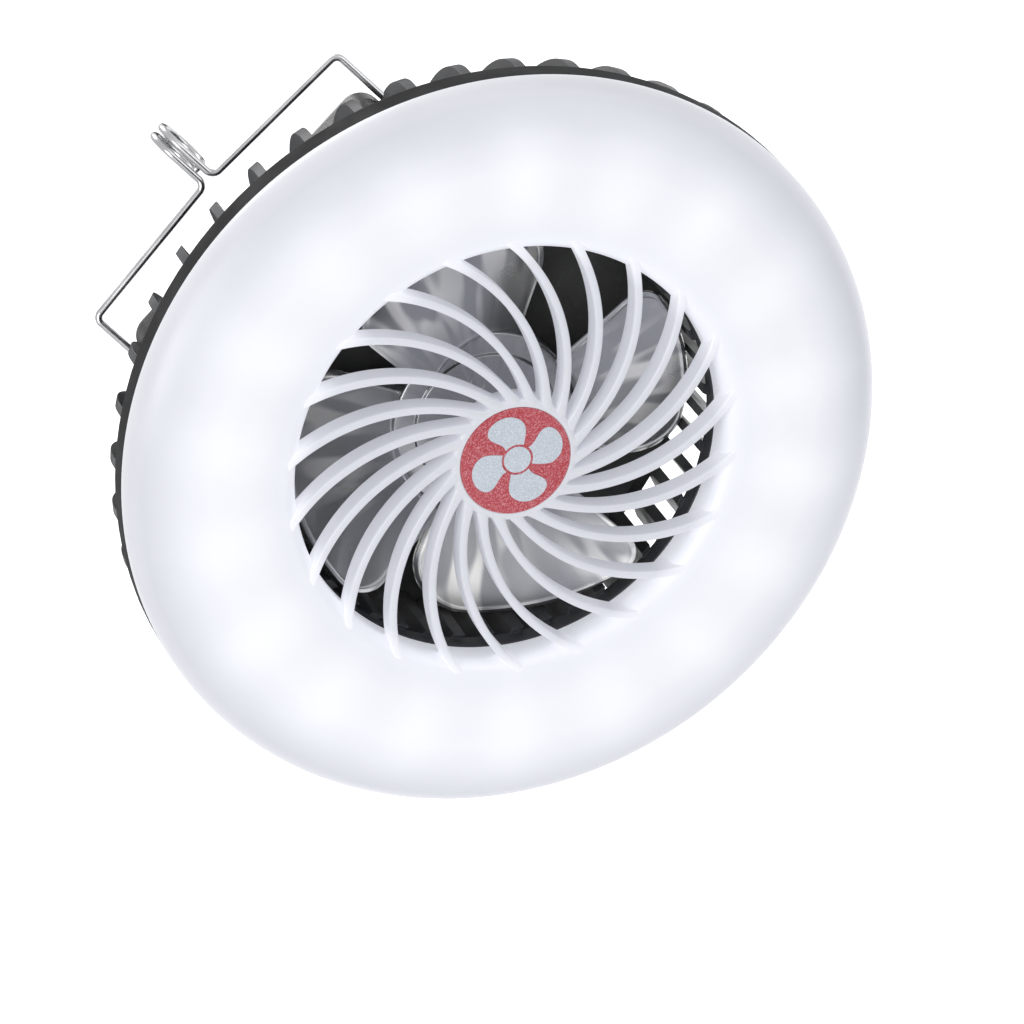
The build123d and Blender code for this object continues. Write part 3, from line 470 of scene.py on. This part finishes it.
# ------------------------------------------------------------------ camera
def camera():
    """Long lens, in front of the fan and above it, rolled so that the bail leans to the left."""
    right = Vector((0.6766, -0.31753, -0.66437))
    down = Vector((-0.7289, -0.41682, -0.54311))
    ahead = Vector((-0.10447, 0.85173, -0.51347))
    centre = Vector((0.0, JOINT_Y, FAN_Z))
    spot = centre - (right * -2.35 + down * -17.9 + ahead * 1500.0)
    data = bpy.data.cameras.new("camera")
    data.sensor_width = 36.0
    data.lens = 198.28
    data.clip_start = 0.05
    data.clip_end = 60.0
    holder = bpy.data.objects.new("camera", data)
    scene.collection.objects.link(holder)
    turn = Matrix((right, -down, -ahead)).transposed().to_4x4()
    holder.matrix_world = Matrix.Translation(spot * MM) @ turn
    scene.camera = holder


camera()


# ------------------------------------------------------------------ node helpers
class Tree:
    """Short ways to add and join the nodes of one node tree."""

    def __init__(self, tree):
        self.tree = tree

    def add(self, kind, inputs=(), **values):
        """A node with its settings, and its inputs by name or number: sockets or plain values."""
        node = self.tree.nodes.new("ShaderNode" + kind)
        for key, value in values.items():
            setattr(node, key, value)
        for key, value in dict(inputs).items():
            if isinstance(value, bpy.types.NodeSocket):
                self.tree.links.new(value, node.inputs[key])
            else:
                node.inputs[key].default_value = value
        return node

    def math(self, operation, *values, clamp=False):
        node = self.add("Math", enumerate(values), operation=operation, use_clamp=clamp)
        return node.outputs[0]

    def over(self, value, limit):
        return self.math("GREATER_THAN", value, limit)

    def under(self, value, limit):
        return self.math("LESS_THAN", value, limit)

    def every(self, first, *masks):
        """Where all of the masks hold."""
        for mask in masks:
            first = self.math("MULTIPLY", first, mask)
        return first

    def blend(self, share, first, second):
        """Colour between two colours, each a socket or a tuple."""
        node = self.add("Mix", data_type="RGBA")
        for key, value in ((0, share), (6, first), (7, second)):
            if isinstance(value, bpy.types.NodeSocket):
                self.tree.links.new(value, node.inputs[key])
            else:
                node.inputs[key].default_value = value if key == 0 else (*value[:3], 1.0)
        return node.outputs[2]

    def range(self, value, low, high, to_low=0.0, to_high=1.0, kind="SMOOTHSTEP"):
        """The value carried from between low and high to between to_low and to_high."""
        limits = {0: value, 1: low, 2: high, 3: to_low, 4: to_high}
        return self.add("MapRange", limits, interpolation_type=kind).outputs[0]

    def join(self, source, target):
        self.tree.links.new(source, target)


def group(name, inputs, outputs):
    """Empty node group with named sockets; gives back the tree, its inputs and its outlet."""
    made = bpy.data.node_groups.new(name, "ShaderNodeTree")
    for label, kind, value in inputs:
        socket = made.interface.new_socket(label, in_out="INPUT", socket_type="NodeSocket" + kind)
        socket.default_value = value
    for label, kind in outputs:
        made.interface.new_socket(label, in_out="OUTPUT", socket_type="NodeSocket" + kind)
    given, result = made.nodes.new("NodeGroupInput"), made.nodes.new("NodeGroupOutput")
    return made, Tree(made), given.outputs, result.inputs


# ------------------------------------------------------------------ effects that materials share
def make_grain():
    """Fine moulding grain: two sizes of noise give a height, and the roughness follows it."""
    made, tree, given, result = group(
        "moulding_grain",
        [("Size", "Float", 0.3), ("Low", "Float", 0.4), ("High", "Float", 0.6)],
        [("Height", "Float"), ("Roughness", "Float"), ("Cloud", "Float")],
    )
    where = tree.add("TexCoord").outputs["Object"]
    pitch = tree.math("DIVIDE", 1000.0, given["Size"])
    fine = tree.add("TexNoise", {"Vector": where, "Scale": pitch, "Detail": 2.0}).outputs["Fac"]
    wide = tree.math("DIVIDE", pitch, 40.0)
    broad = tree.add("TexNoise", {"Vector": where, "Scale": wide, "Detail": 3.0})
    cloud = tree.range(broad.outputs["Fac"], 0.3, 0.7)
    tree.join(fine, result["Height"])
    share = tree.math("MULTIPLY_ADD", fine, 0.5, tree.math("MULTIPLY", cloud, 0.5))
    rough = tree.add("MapRange", {0: share, 1: 0.25, 2: 0.75, 3: given["Low"], 4: given["High"]})
    tree.join(rough.outputs[0], result["Roughness"])
    tree.join(cloud, result["Cloud"])
    return made


def make_wear_and_highlight():
    """Rounded edges for scuffing and a painted highlight: where the normal of a softened edge leaves
    the true normal.
    """
    made, tree, given, result = group(
        "edge_wear_and_highlight",
        [("Radius", "Float", 0.0004), ("Amount", "Float", 0.6)],
        [("Mask", "Float"), ("Normal", "Vector")],
    )
    soft = tree.add("Bevel", {"Radius": given["Radius"]}, samples=6)
    true_normal = tree.add("NewGeometry").outputs["Normal"]
    alike = tree.add("VectorMath", {0: soft.outputs[0], 1: true_normal}, operation="DOT_PRODUCT")
    edge = tree.range(alike.outputs["Value"], 0.99, 0.8)
    where = tree.add("TexCoord").outputs["Object"]
    patch = tree.add("TexNoise", {"Vector": where, "Scale": 160.0, "Detail": 4.0}).outputs["Fac"]
    worn_and_lit = tree.math("MULTIPLY", edge, tree.range(patch, 0.3, 0.6, 0.45, 1.0))
    tree.join(tree.math("MULTIPLY", worn_and_lit, given["Amount"]), result["Mask"])
    tree.join(soft.outputs[0], result["Normal"])
    return made


def make_glitter():
    """Sparkle of a foil print: small random cells, of which the brightest share stands out."""
    made, tree, given, result = group(
        "glitter",
        [("Size", "Float", 0.3), ("Share", "Float", 0.5)],
        [("Mask", "Float"), ("Height", "Float")],
    )
    where = tree.add("TexCoord").outputs["Object"]
    pitch = tree.math("DIVIDE", 1000.0, given["Size"])
    cells = tree.add("TexVoronoi", {"Vector": where, "Scale": pitch})
    chance = tree.add("SeparateColor", {0: cells.outputs["Color"]})
    mask = tree.range(chance.outputs[0], tree.math("SUBTRACT", 1.0, given["Share"]), 1.0)
    tree.join(mask, result["Mask"])
    tree.join(chance.outputs[1], result["Height"])
    return made


def make_drawn_lines():
    """Fine lines along one direction, such as drawing or winding marks on the piece's own map."""
    made, tree, given, result = group(
        "drawn_lines", [("Along", "Float", 4.0), ("Across", "Float", 30.0)], [("Height", "Float")]
    )
    run = tree.add("SeparateXYZ", {0: tree.add("UVMap", uv_map="run").outputs[0]}).outputs
    across = tree.math("MULTIPLY", run[1], 2 * math.pi)
    across_cos, across_sin = tree.math("COSINE", across), tree.math("SINE", across)
    vector = tree.add(
        "CombineXYZ",
        {
            0: tree.math("MULTIPLY", across_cos, given["Across"]),
            1: tree.math("MULTIPLY", across_sin, given["Across"]),
            2: tree.math("MULTIPLY", run[0], given["Along"]),
        },
    )
    noise = tree.add("TexNoise", {"Vector": vector.outputs[0], "Scale": 1.0, "Detail": 2.0})
    tree.join(noise.outputs["Fac"], result["Height"])
    return made


GRAIN, WEAR_AND_HIGHLIGHT, GLITTER, DRAWN = make_grain(), make_wear_and_highlight(), make_glitter(), make_drawn_lines()


# ------------------------------------------------------------------ finishes
def start(name, **sockets):
    """Empty material; the shader's sockets get their plain values. Gives material, tree, shader."""
    made = bpy.data.materials.new(name)
    made.use_nodes = True
    shader = made.node_tree.nodes["Principled BSDF"]
    for key, value in sockets.items():
        shader.inputs[key.replace("_", " ")].default_value = value
    return made, Tree(made.node_tree), shader


def grained(tree, size, low, high):
    """The shared moulding grain: size in millimetres, roughness between low and high."""
    return tree.add("Group", {"Size": size, "Low": low, "High": high}, node_tree=GRAIN).outputs


def worn_and_lit(tree, radius, amount):
    """The shared edge mask for scuffing and a painted edge highlight, with the radius of the softened
    edge in millimetres.
    """
    return tree.add("Group", {"Radius": radius * MM, "Amount": amount}, node_tree=WEAR_AND_HIGHLIGHT).outputs


def raised(tree, shader, height, strength, depth, below=None):
    """A height in relief on the shader, depth in millimetres, over another normal if given."""
    bump = tree.add("Bump", {"Height": height, "Strength": strength, "Distance": depth * MM})
    if below is not None:
        tree.join(below, bump.inputs["Normal"])
    tree.join(bump.outputs[0], shader.inputs["Normal"])


def finish(name, colour, second, rough=(0.4, 0.6), metal=0.0, coat=0.0, coat_rough=0.08,
           grain=0.3, relief=0.03, wear_and_highlight=None, sharp=0.35):
    """Moulded or metal finish: two colours in soft clouds, grain in relief and roughness, and a
    lighter line along the edges, partly scuffing and partly a painted highlight. grain, relief and
    sharp are in millimetres."""
    made, tree, shader = start(name, Metallic=metal, Coat_Weight=coat, Coat_Roughness=coat_rough)
    skin = grained(tree, grain, *rough)
    body, below = tree.blend(skin["Cloud"], colour, second), None
    if wear_and_highlight:
        edge = worn_and_lit(tree, sharp, wear_and_highlight[1])
        # lighter edge colour: partly scuffing, partly a painted highlight
        body, below = tree.blend(edge["Mask"], body, wear_and_highlight[0]), edge["Normal"]
    tree.join(body, shader.inputs["Base Color"])
    tree.join(skin["Roughness"], shader.inputs["Roughness"])
    raised(tree, shader, skin["Height"], 0.6, relief, below)
    return made


def fan_polar(tree):
    """Radius in millimetres and angle in radians about the fan axis, from object coordinates."""
    where = tree.add("SeparateXYZ", {0: tree.add("TexCoord").outputs["Object"]}).outputs
    up = tree.math("SUBTRACT", where[2], FAN_Z * MM)
    across_square, up_square = (tree.math("MULTIPLY", way, way) for way in (where[0], up))
    radius = tree.math("SQRT", tree.math("ADD", across_square, up_square))
    return tree.math("MULTIPLY", radius, 1000.0), tree.math("ARCTAN2", up, where[0])


def housing_charcoal():
    """Charcoal moulding with lighter edges, partly scuffing and partly a painted highlight. The walls
    of the electronics box are polished black, the outer band is dull and painted darker as painted
    shade, and a film of dust lies round the space of the impeller."""
    made, tree, shader = start("housing_charcoal", Specular_IOR_Level=0.32)
    skin, edge = grained(tree, 0.35, 0.34, 0.5), worn_and_lit(tree, 0.35, 0.5)
    coords = tree.add("TexCoord").outputs["Object"]
    where = tree.add("SeparateXYZ", {0: coords}).outputs
    radius, _ = fan_polar(tree)
    back = tree.math("MULTIPLY_ADD", where[1], 1000.0, -JOINT_Y)
    up = tree.math("MULTIPLY_ADD", where[2], 1000.0, -FAN_Z)
    beside = tree.under(tree.math("ABSOLUTE", where[0]), BOX_HALF * MM)
    level = tree.every(tree.under(up, BOX_HIGH), tree.over(up, BOX_LOW))
    behind, outside = tree.over(back, FLANGE_BACK), tree.over(radius, PLATE - 0.7)
    box = tree.every(beside, behind, level, outside)
    # painted shade: the outer band gets a darker colour than the rest of the same moulding
    band = tree.every(tree.over(radius, BAND_INSIDE), tree.under(back, FLANGE_BACK))
    chamber = tree.every(tree.range(radius, PLATE, PLATE - 0.6), tree.under(back, PLATE_OUTSIDE))
    film = tree.every(chamber, tree.range(back, 7.0, 20.0))
    specks = tree.add("TexNoise", {"Vector": coords, "Scale": 900.0, "Detail": 5.0}).outputs["Fac"]
    patches = tree.add("TexNoise", {"Vector": coords, "Scale": 45.0, "Detail": 3.0}).outputs["Fac"]
    thick, fine = tree.range(patches, 0.3, 0.7, 0.35, 0.8), tree.range(specks, 0.55, 0.72, 0.0, 0.2)
    dust = tree.every(film, tree.math("ADD", thick, fine))
    body = tree.blend(skin["Cloud"], (0.046, 0.047, 0.050), (0.056, 0.057, 0.060))
    for mask, colour in (
        (dust, (0.17, 0.168, 0.16)),
        (box, (0.008, 0.008, 0.009)),
        # painted shade on the outer band
        (band, (0.014, 0.014, 0.015)),
        # lighter edges: partly scuffing, partly a painted highlight
        (edge["Mask"], (0.20, 0.20, 0.21)),
    ):
        body = tree.blend(mask, body, colour)
    tree.join(body, shader.inputs["Base Color"])
    gloss = tree.math("MULTIPLY_ADD", box, -0.2, skin["Roughness"])
    gloss = tree.math("MULTIPLY_ADD", band, 0.42, gloss)
    tree.join(tree.math("MULTIPLY_ADD", dust, 0.3, gloss, clamp=True), shader.inputs["Roughness"])
    raised(tree, shader, skin["Height"], 0.6, 0.04, edge["Normal"])
    return made


def diffuser(name, glow, spots=0.5):
    """Milky lit plastic: glow and tint follow the radius, with a soft bright patch over each chip.

    glow lists (radius, red, green, blue) of the emitted light: on the ring the light that comes
    through the wall, with painted light at the lip, and on the ribs and hub painted light only;
    spots is the strength of the patches.
    """
    made, tree, shader = start(name, Coat_Weight=0.1, Coat_Roughness=0.3, Emission_Strength=1.0)
    radius, angle = fan_polar(tree)
    nearest, farthest = 10.0, 106.0
    ramp = tree.add("ValToRGB", {0: tree.range(radius, nearest, farthest, kind="LINEAR")})
    stops = ramp.color_ramp.elements
    while len(stops) < len(glow):
        stops.new(0.5)
    for stop, (distance, *light) in zip(stops, glow):
        stop.position = (distance - nearest) / (farthest - nearest)
        stop.color = (*light, 1.0)
    turned_on = tree.math("SUBTRACT", angle, math.radians(CHIP_ANGLE))
    wave = tree.math("COSINE", tree.math("MULTIPLY", turned_on, float(CHIP_COUNT)))
    beside = tree.math("POWER", tree.math("MULTIPLY_ADD", wave, 0.5, 0.5), 1.2)
    nearby = tree.every(tree.range(radius, 58.0, 82.0), tree.range(radius, 102.0, 80.0))
    where = tree.add("TexCoord").outputs["Object"]
    clouds = tree.add("TexNoise", {"Vector": where, "Scale": 24.0, "Detail": 3.0}).outputs["Fac"]
    spot = tree.every(beside, nearby, tree.range(clouds, 0.3, 0.7, 0.75, 1.15))
    share = tree.math("MULTIPLY", spot, spots, clamp=True)
    tree.join(tree.blend(share, ramp.outputs[0], (0.52, 0.53, 0.55)), shader.inputs["Emission Color"])
    skin = grained(tree, 0.5, 0.34, 0.44)
    body = tree.blend(skin["Cloud"], (0.53, 0.535, 0.565), (0.55, 0.555, 0.585))
    tree.join(body, shader.inputs["Base Color"])
    tree.join(skin["Roughness"], shader.inputs["Roughness"])
    raised(tree, shader, skin["Height"], 0.3, 0.01)
    return made


def sparkling(name, colour, second, spark, size, share):
    """Printed foil: a coloured ground with small bright grains."""
    made, tree, shader = start(name, Coat_Weight=0.3, Coat_Roughness=0.2)
    grains = tree.add("Group", {"Size": size, "Share": share}, node_tree=GLITTER).outputs
    skin = grained(tree, 1.2, 0.32, 0.55)
    ground = tree.blend(skin["Cloud"], colour, second)
    tree.join(tree.blend(grains["Mask"], ground, spark), shader.inputs["Base Color"])
    tree.join(skin["Roughness"], shader.inputs["Roughness"])
    raised(tree, shader, grains["Height"], 0.5, 0.02)
    return made


def satin_silver():
    """Silver paint on plastic: flakes, faint turning lines, and soft bright bands out along the outer
    blades that are painted reflections.
    """
    made, tree, shader = start("satin_silver", Metallic=0.9, Coat_Weight=0.15, Coat_Roughness=0.15)
    radius, angle = fan_polar(tree)
    where = tree.add("TexCoord").outputs["Object"]
    ways = tree.math("COSINE", angle), tree.math("SINE", angle), tree.math("MULTIPLY", radius, 0.006)
    around = tree.add("CombineXYZ", enumerate(ways)).outputs[0]
    bands = tree.add("TexNoise", {"Vector": around, "Scale": 11.0, "Detail": 0.0}).outputs["Fac"]
    glare = tree.add("TexNoise", {"Vector": where, "Scale": 26.0, "Detail": 0.0}).outputs["Fac"]
    flakes = tree.add("Group", {"Size": 0.12, "Share": 0.5}, node_tree=GLITTER).outputs
    outer = tree.every(tree.range(radius, 26.0, 44.0, 0.1, 1.0), tree.range(glare, 0.32, 0.62))
    soft = tree.every(tree.range(bands, 0.40, 0.63), outer)
    # painted reflections: soft warm near-white streaks out along the outer blades, patchy with the
    # glare noise
    body = tree.blend(soft, (0.40, 0.405, 0.42), (1.0, 0.985, 0.95))
    body = tree.blend(tree.math("MULTIPLY", flakes["Mask"], 0.12), body, (0.75, 0.75, 0.76))
    tree.join(body, shader.inputs["Base Color"])
    scuffs = tree.add("TexNoise", {"Vector": where, "Scale": 60.0, "Detail": 1.0}).outputs["Fac"]
    tree.join(tree.range(scuffs, 0.3, 0.7, 0.26, 0.32), shader.inputs["Roughness"])
    turning = tree.math("SINE", tree.math("MULTIPLY", radius, 9.0))
    height = tree.math("MULTIPLY_ADD", turning, 0.12, flakes["Height"])
    raised(tree, shader, height, 0.12, 0.005)
    return made


def drawn_steel():
    """Bright drawn wire: fine lines along it, small stains in the roughness."""
    made, tree, shader = start("drawn_steel", Metallic=1.0)
    lines = tree.add("Group", {"Along": 40.0, "Across": 2.2}, node_tree=DRAWN).outputs
    skin = grained(tree, 0.25, 0.2, 0.32)
    stain = tree.blend(skin["Cloud"], (0.42, 0.42, 0.43), (0.52, 0.52, 0.53))
    tree.join(stain, shader.inputs["Base Color"])
    tree.join(skin["Roughness"], shader.inputs["Roughness"])
    raised(tree, shader, lines["Height"], 0.1, 0.02)
    return made


def layered(name, colour, second, rough, pitch):
    """Fine metal lines across the fan axis in relief and colour: windings or laminations."""
    made, tree, shader = start(name, Metallic=1.0, Roughness=rough)
    depth = tree.add("SeparateXYZ", {0: tree.add("TexCoord").outputs["Object"]}).outputs[1]
    wave = tree.math("SINE", tree.math("MULTIPLY", depth, 2 * math.pi / (pitch * MM)))
    share = tree.math("MULTIPLY_ADD", wave, 0.5, 0.5)
    tree.join(tree.blend(share, colour, second), shader.inputs["Base Color"])
    raised(tree, shader, share, 0.7, 0.05)
    return made


# light of the lit ring through its wall as (radius, red, green, blue); the higher values at the
# lip are painted light that fills the shade of its round edge
RING_GLOW_WITH_PAINTED_LIGHT = (
    (58.0, 0.44, 0.45, 0.48),
    (60.4, 0.42, 0.43, 0.46),
    (66.0, 0.38, 0.385, 0.41),
    (74.0, 0.41, 0.415, 0.43),
    (84.0, 0.42, 0.42, 0.44),
    (91.0, 0.35, 0.355, 0.38),
    (97.0, 0.26, 0.265, 0.29),
    (101.0, 0.20, 0.205, 0.225),
    (103.5, 0.24, 0.24, 0.26),
    (105.0, 0.27, 0.27, 0.28),
)
# glow of the ribs and the grille's hub, which are no lamp: painted light that lifts their shaded
# sides and matches the ring's light where they meet it
RIB_PAINTED_GLOW = (
    (14.0, 0.21, 0.215, 0.235),
    (40.0, 0.21, 0.215, 0.24),
    (56.0, 0.25, 0.255, 0.28),
    (60.0, 0.40, 0.405, 0.43),
    (63.0, 0.45, 0.455, 0.48),
)
milky = diffuser("milky_diffuser", RING_GLOW_WITH_PAINTED_LIGHT)
# ribs and hub: milky plastic with painted light as glow, without bright patches
milky_ribs_painted_glow = diffuser("milky_ribs_painted_glow", RIB_PAINTED_GLOW, 0.0)
badge = sparkling(
    "badge_red", (0.48, 0.030, 0.045), (0.42, 0.025, 0.038), (0.66, 0.24, 0.28), 0.26, 0.55
)
symbol = sparkling(
    "badge_white", (0.56, 0.61, 0.67), (0.53, 0.58, 0.64), (0.74, 0.79, 0.86), 0.24, 0.6
)
charcoal = housing_charcoal()
# the lighter edge colours given below are partly scuffing and partly a painted highlight
black = finish("box_black", (0.010, 0.010, 0.011), (0.014, 0.014, 0.015), (0.16, 0.26), coat=0.4,
               coat_rough=0.06, grain=0.5, relief=0.01, wear_and_highlight=((0.22, 0.22, 0.23), 0.45))
button_black = finish("button_black", (0.018, 0.018, 0.019), (0.024, 0.024, 0.026), (0.35, 0.5),
                      grain=0.2, wear_and_highlight=((0.2, 0.2, 0.2), 0.5))
silver = satin_silver()
steel_wire = drawn_steel()
steel = finish("can_steel", (0.52, 0.52, 0.53), (0.60, 0.60, 0.61), (0.22, 0.36), metal=1.0,
               grain=0.25, relief=0.01, wear_and_highlight=((0.75, 0.75, 0.76), 0.5), sharp=0.2)
screw_steel = finish("screw_steel", (0.28, 0.28, 0.29), (0.36, 0.36, 0.37), (0.25, 0.42), metal=1.0,
                     grain=0.12, relief=0.01, wear_and_highlight=((0.6, 0.6, 0.6), 0.6), sharp=0.15)
reflector = finish("reflector_white", (0.80, 0.80, 0.79), (0.76, 0.76, 0.75), (0.45, 0.6),
                   grain=0.4, relief=0.02)
board_white = finish("board_white", (0.72, 0.72, 0.70), (0.66, 0.66, 0.64), (0.4, 0.55), relief=0.02)
chip_yellow = finish("led_yellow", (0.78, 0.62, 0.12), (0.84, 0.70, 0.20), (0.3, 0.5),
                     grain=0.15, relief=0.02)
green = finish("board_green", (0.010, 0.095, 0.040), (0.018, 0.130, 0.055), (0.25, 0.4), coat=0.3,
               grain=0.6, wear_and_highlight=((0.45, 0.36, 0.15), 0.5), sharp=0.2)
sleeve = finish("cell_sleeve", (0.020, 0.110, 0.300), (0.026, 0.130, 0.340), (0.22, 0.35), coat=0.2,
                grain=0.7, relief=0.02)
cradle = finish("cradle_grey", (0.11, 0.11, 0.12), (0.14, 0.14, 0.15), (0.45, 0.6),
                wear_and_highlight=((0.35, 0.35, 0.36), 0.4))
nickel = finish("contact_nickel", (0.58, 0.56, 0.51), (0.66, 0.64, 0.58), (0.2, 0.35), metal=1.0,
                grain=0.15, relief=0.01)
bronze = finish("bronze", (0.48, 0.29, 0.13), (0.56, 0.36, 0.17), (0.32, 0.5), metal=1.0,
                grain=0.1, relief=0.02)
ferrite = finish("ferrite", (0.030, 0.029, 0.030), (0.045, 0.043, 0.044), (0.55, 0.7),
                 grain=0.12, relief=0.05)
acetal = finish("acetal_black", (0.016, 0.016, 0.017), (0.022, 0.022, 0.023), (0.35, 0.5),
                relief=0.02, wear_and_highlight=((0.2, 0.2, 0.2), 0.4), sharp=0.2)
cap_plastic = finish("motor_cap_plastic", (0.55, 0.54, 0.50), (0.60, 0.59, 0.55), (0.4, 0.55),
                     relief=0.02)
lamp_clear = finish("lamp_clear", (0.62, 0.66, 0.70), (0.68, 0.72, 0.76), (0.08, 0.16), coat=0.5,
                    grain=0.4, relief=0.005)
copper = layered("coil_copper", (0.62, 0.20, 0.08), (0.42, 0.11, 0.04), 0.3, 0.24)
laminated = layered("armature_laminated", (0.34, 0.34, 0.35), (0.20, 0.20, 0.21), 0.4, 0.5)


def dress(made, *names):
    """Gives carried-over parts their finish."""
    for name in names:
        part = nodes[name]
        if not part.material_slots:
            part.data.materials.append(made)
        for slot in part.material_slots:
            slot.material = made


dress(milky, "front_cover")
dress(badge, "hub_badge")
dress(symbol, "badge_symbol")
dress(charcoal, "rear_housing")
dress(black, "box_cover")
dress(button_black, "fan_button", "light_button", "fan_switch", "light_switch")
dress(silver, "impeller", "impeller_cap")
dress(steel, "motor_can", "motor_shaft", "usb_socket")
dress(steel_wire, "wire_bail")
dress(screw_steel, "cover_screws", "board_screws", "motor_screws")
dress(reflector, "light_reflector")
dress(board_white, "led_board")
dress(chip_yellow, "led_chips")
dress(green, "control_board")
dress(sleeve, "battery_cell")
dress(cradle, "battery_cradle")
dress(nickel, "battery_contacts")
dress(bronze, "motor_bushes", "commutator")
dress(ferrite, "motor_magnets")
dress(acetal, "pivot_bushes")
dress(cap_plastic, "motor_end_cap")
dress(lamp_clear, "charge_lamp")
dress(copper, "armature_coils")
dress(laminated, "armature")

# ------------------------------------------------------------------ new pieces
ring_sheets = [turned(ring_profile()), turned(skirt_profile()), snap_tabs()]
hub_sheets = [turned(impeller_hub(), 160), hub_marks()]
wire_sheet = capped(tube(bail_path(), WIRE_RADIUS) * MM)
for name, sheets, made in (
    ("light_ring", ring_sheets, milky),
    ("grille_ribs", [grille_ribs()], milky_ribs_painted_glow),
    ("grille_hub", [turned(hub_profile(), 192)], milky_ribs_painted_glow),
):
    piece(name, sheets, made, "housing", ("front_cover",))
for name, sheets in (("impeller_blades", [impeller_blades()]), ("impeller_hub", hub_sheets)):
    piece(name, sheets, silver, "rotor", ("impeller",))
piece("bail_wire", [wire_sheet], steel_wire, "bail", ("wire_bail",), crease=60.0)


# ------------------------------------------------------------------ stage and light
def looked_at(tree):
    """1 for rays of the camera, of mirrors and through glass, 0 for the light on the object."""
    path = tree.add("LightPath").outputs
    both = tree.math("MAXIMUM", path["Is Camera Ray"], path["Is Glossy Ray"])
    return tree.math("MAXIMUM", both, path["Is Transmission Ray"])


def flat(name, made, x, y, level=0.0):
    """Flat four-sided sheet from -x to x and from -y to y."""
    mesh = bpy.data.meshes.new(name)
    corners = [(-x, -y, level), (x, -y, level), (x, y, level), (-x, y, level)]
    mesh.from_pydata(corners, [], [(0, 1, 2, 3)])
    mesh.materials.append(made)
    sheet = bpy.data.objects.new(name, mesh)
    scene.collection.objects.link(sheet)
    return sheet


def floor():
    """Flat pale floor well below the hanging fan: it keeps its shadow and shows white."""
    made, tree, shader = start("floor_white", Base_Color=(0.8, 0.8, 0.8, 1.0), Roughness=0.9)
    strength = tree.math("MULTIPLY", looked_at(tree), 0.8)
    glow = tree.add("Emission", {"Color": (1, 1, 1, 1), "Strength": strength})
    both = tree.add("AddShader", {0: shader.outputs[0], 1: glow.outputs[0]})
    tree.join(both.outputs[0], made.node_tree.nodes["Material Output"].inputs["Surface"])
    flat("floor", made, 12.0, 12.0, level=-0.62)


def world():
    """Soft even sky for the object, white where it is looked at."""
    sky = bpy.data.worlds.new("sky")
    scene.world = sky
    sky.use_nodes = True
    tree = Tree(sky.node_tree)
    back = sky.node_tree.nodes["Background"]
    back.inputs["Color"].default_value = (0.86, 0.88, 0.92, 1)
    back.inputs["Strength"].default_value = 0.5
    bright = tree.add("Background", {"Color": (1, 1, 1, 1), "Strength": 1.0})
    mix = tree.add("MixShader", {0: looked_at(tree), 1: back.outputs[0], 2: bright.outputs[0]})
    tree.join(mix.outputs[0], sky.node_tree.nodes["World Output"].inputs["Surface"])


def aimed(place, target):
    """Placement at a point, with the back of its z axis towards a target."""
    aim = Vector(target) - Vector(place)
    return Matrix.Translation(place) @ aim.to_track_quat("-Z", "Y").to_matrix().to_4x4()


def lamp(name, place, target, power, size):
    """Square soft lamp that faces a target; places in metres."""
    data = bpy.data.lights.new(name, "AREA")
    data.energy = power
    data.size = size
    holder = bpy.data.objects.new(name, data)
    scene.collection.objects.link(holder)
    holder.matrix_world = aimed(place, target)


def card(name, place, target, width, height):
    """Dark studio card beside the fan, seen in polished metal only."""
    made, _, _ = start(name, Base_Color=(0.02, 0.02, 0.022, 1.0), Roughness=0.9)
    holder = flat(name, made, width / 2, height / 2)
    holder.matrix_world = aimed(place, target)
    for ray in ("camera", "diffuse", "transmission", "volume_scatter", "shadow"):
        setattr(holder, "visible_" + ray, False)


floor()
world()
centre = (0.0, JOINT_Y * MM, FAN_Z * MM)
lamp("key", (-0.9, -1.2, 1.1), centre, 16.0, 0.9)
lamp("fill", (1.3, -1.0, 0.3), centre, 6.0, 1.2)
lamp("rim", (0.3, 1.2, 0.9), centre, 12.0, 0.9)
card("card_low", (0.19, JOINT_Y * MM - 0.26, -0.50), centre, 0.6, 0.6)
card("card_front", (0.26, JOINT_Y * MM - 0.85, -0.02), centre, 0.7, 0.8)
card("card_behind", (-0.036, 0.30, -0.13), (0.0, -0.02, 0.01), 0.36, 0.22)
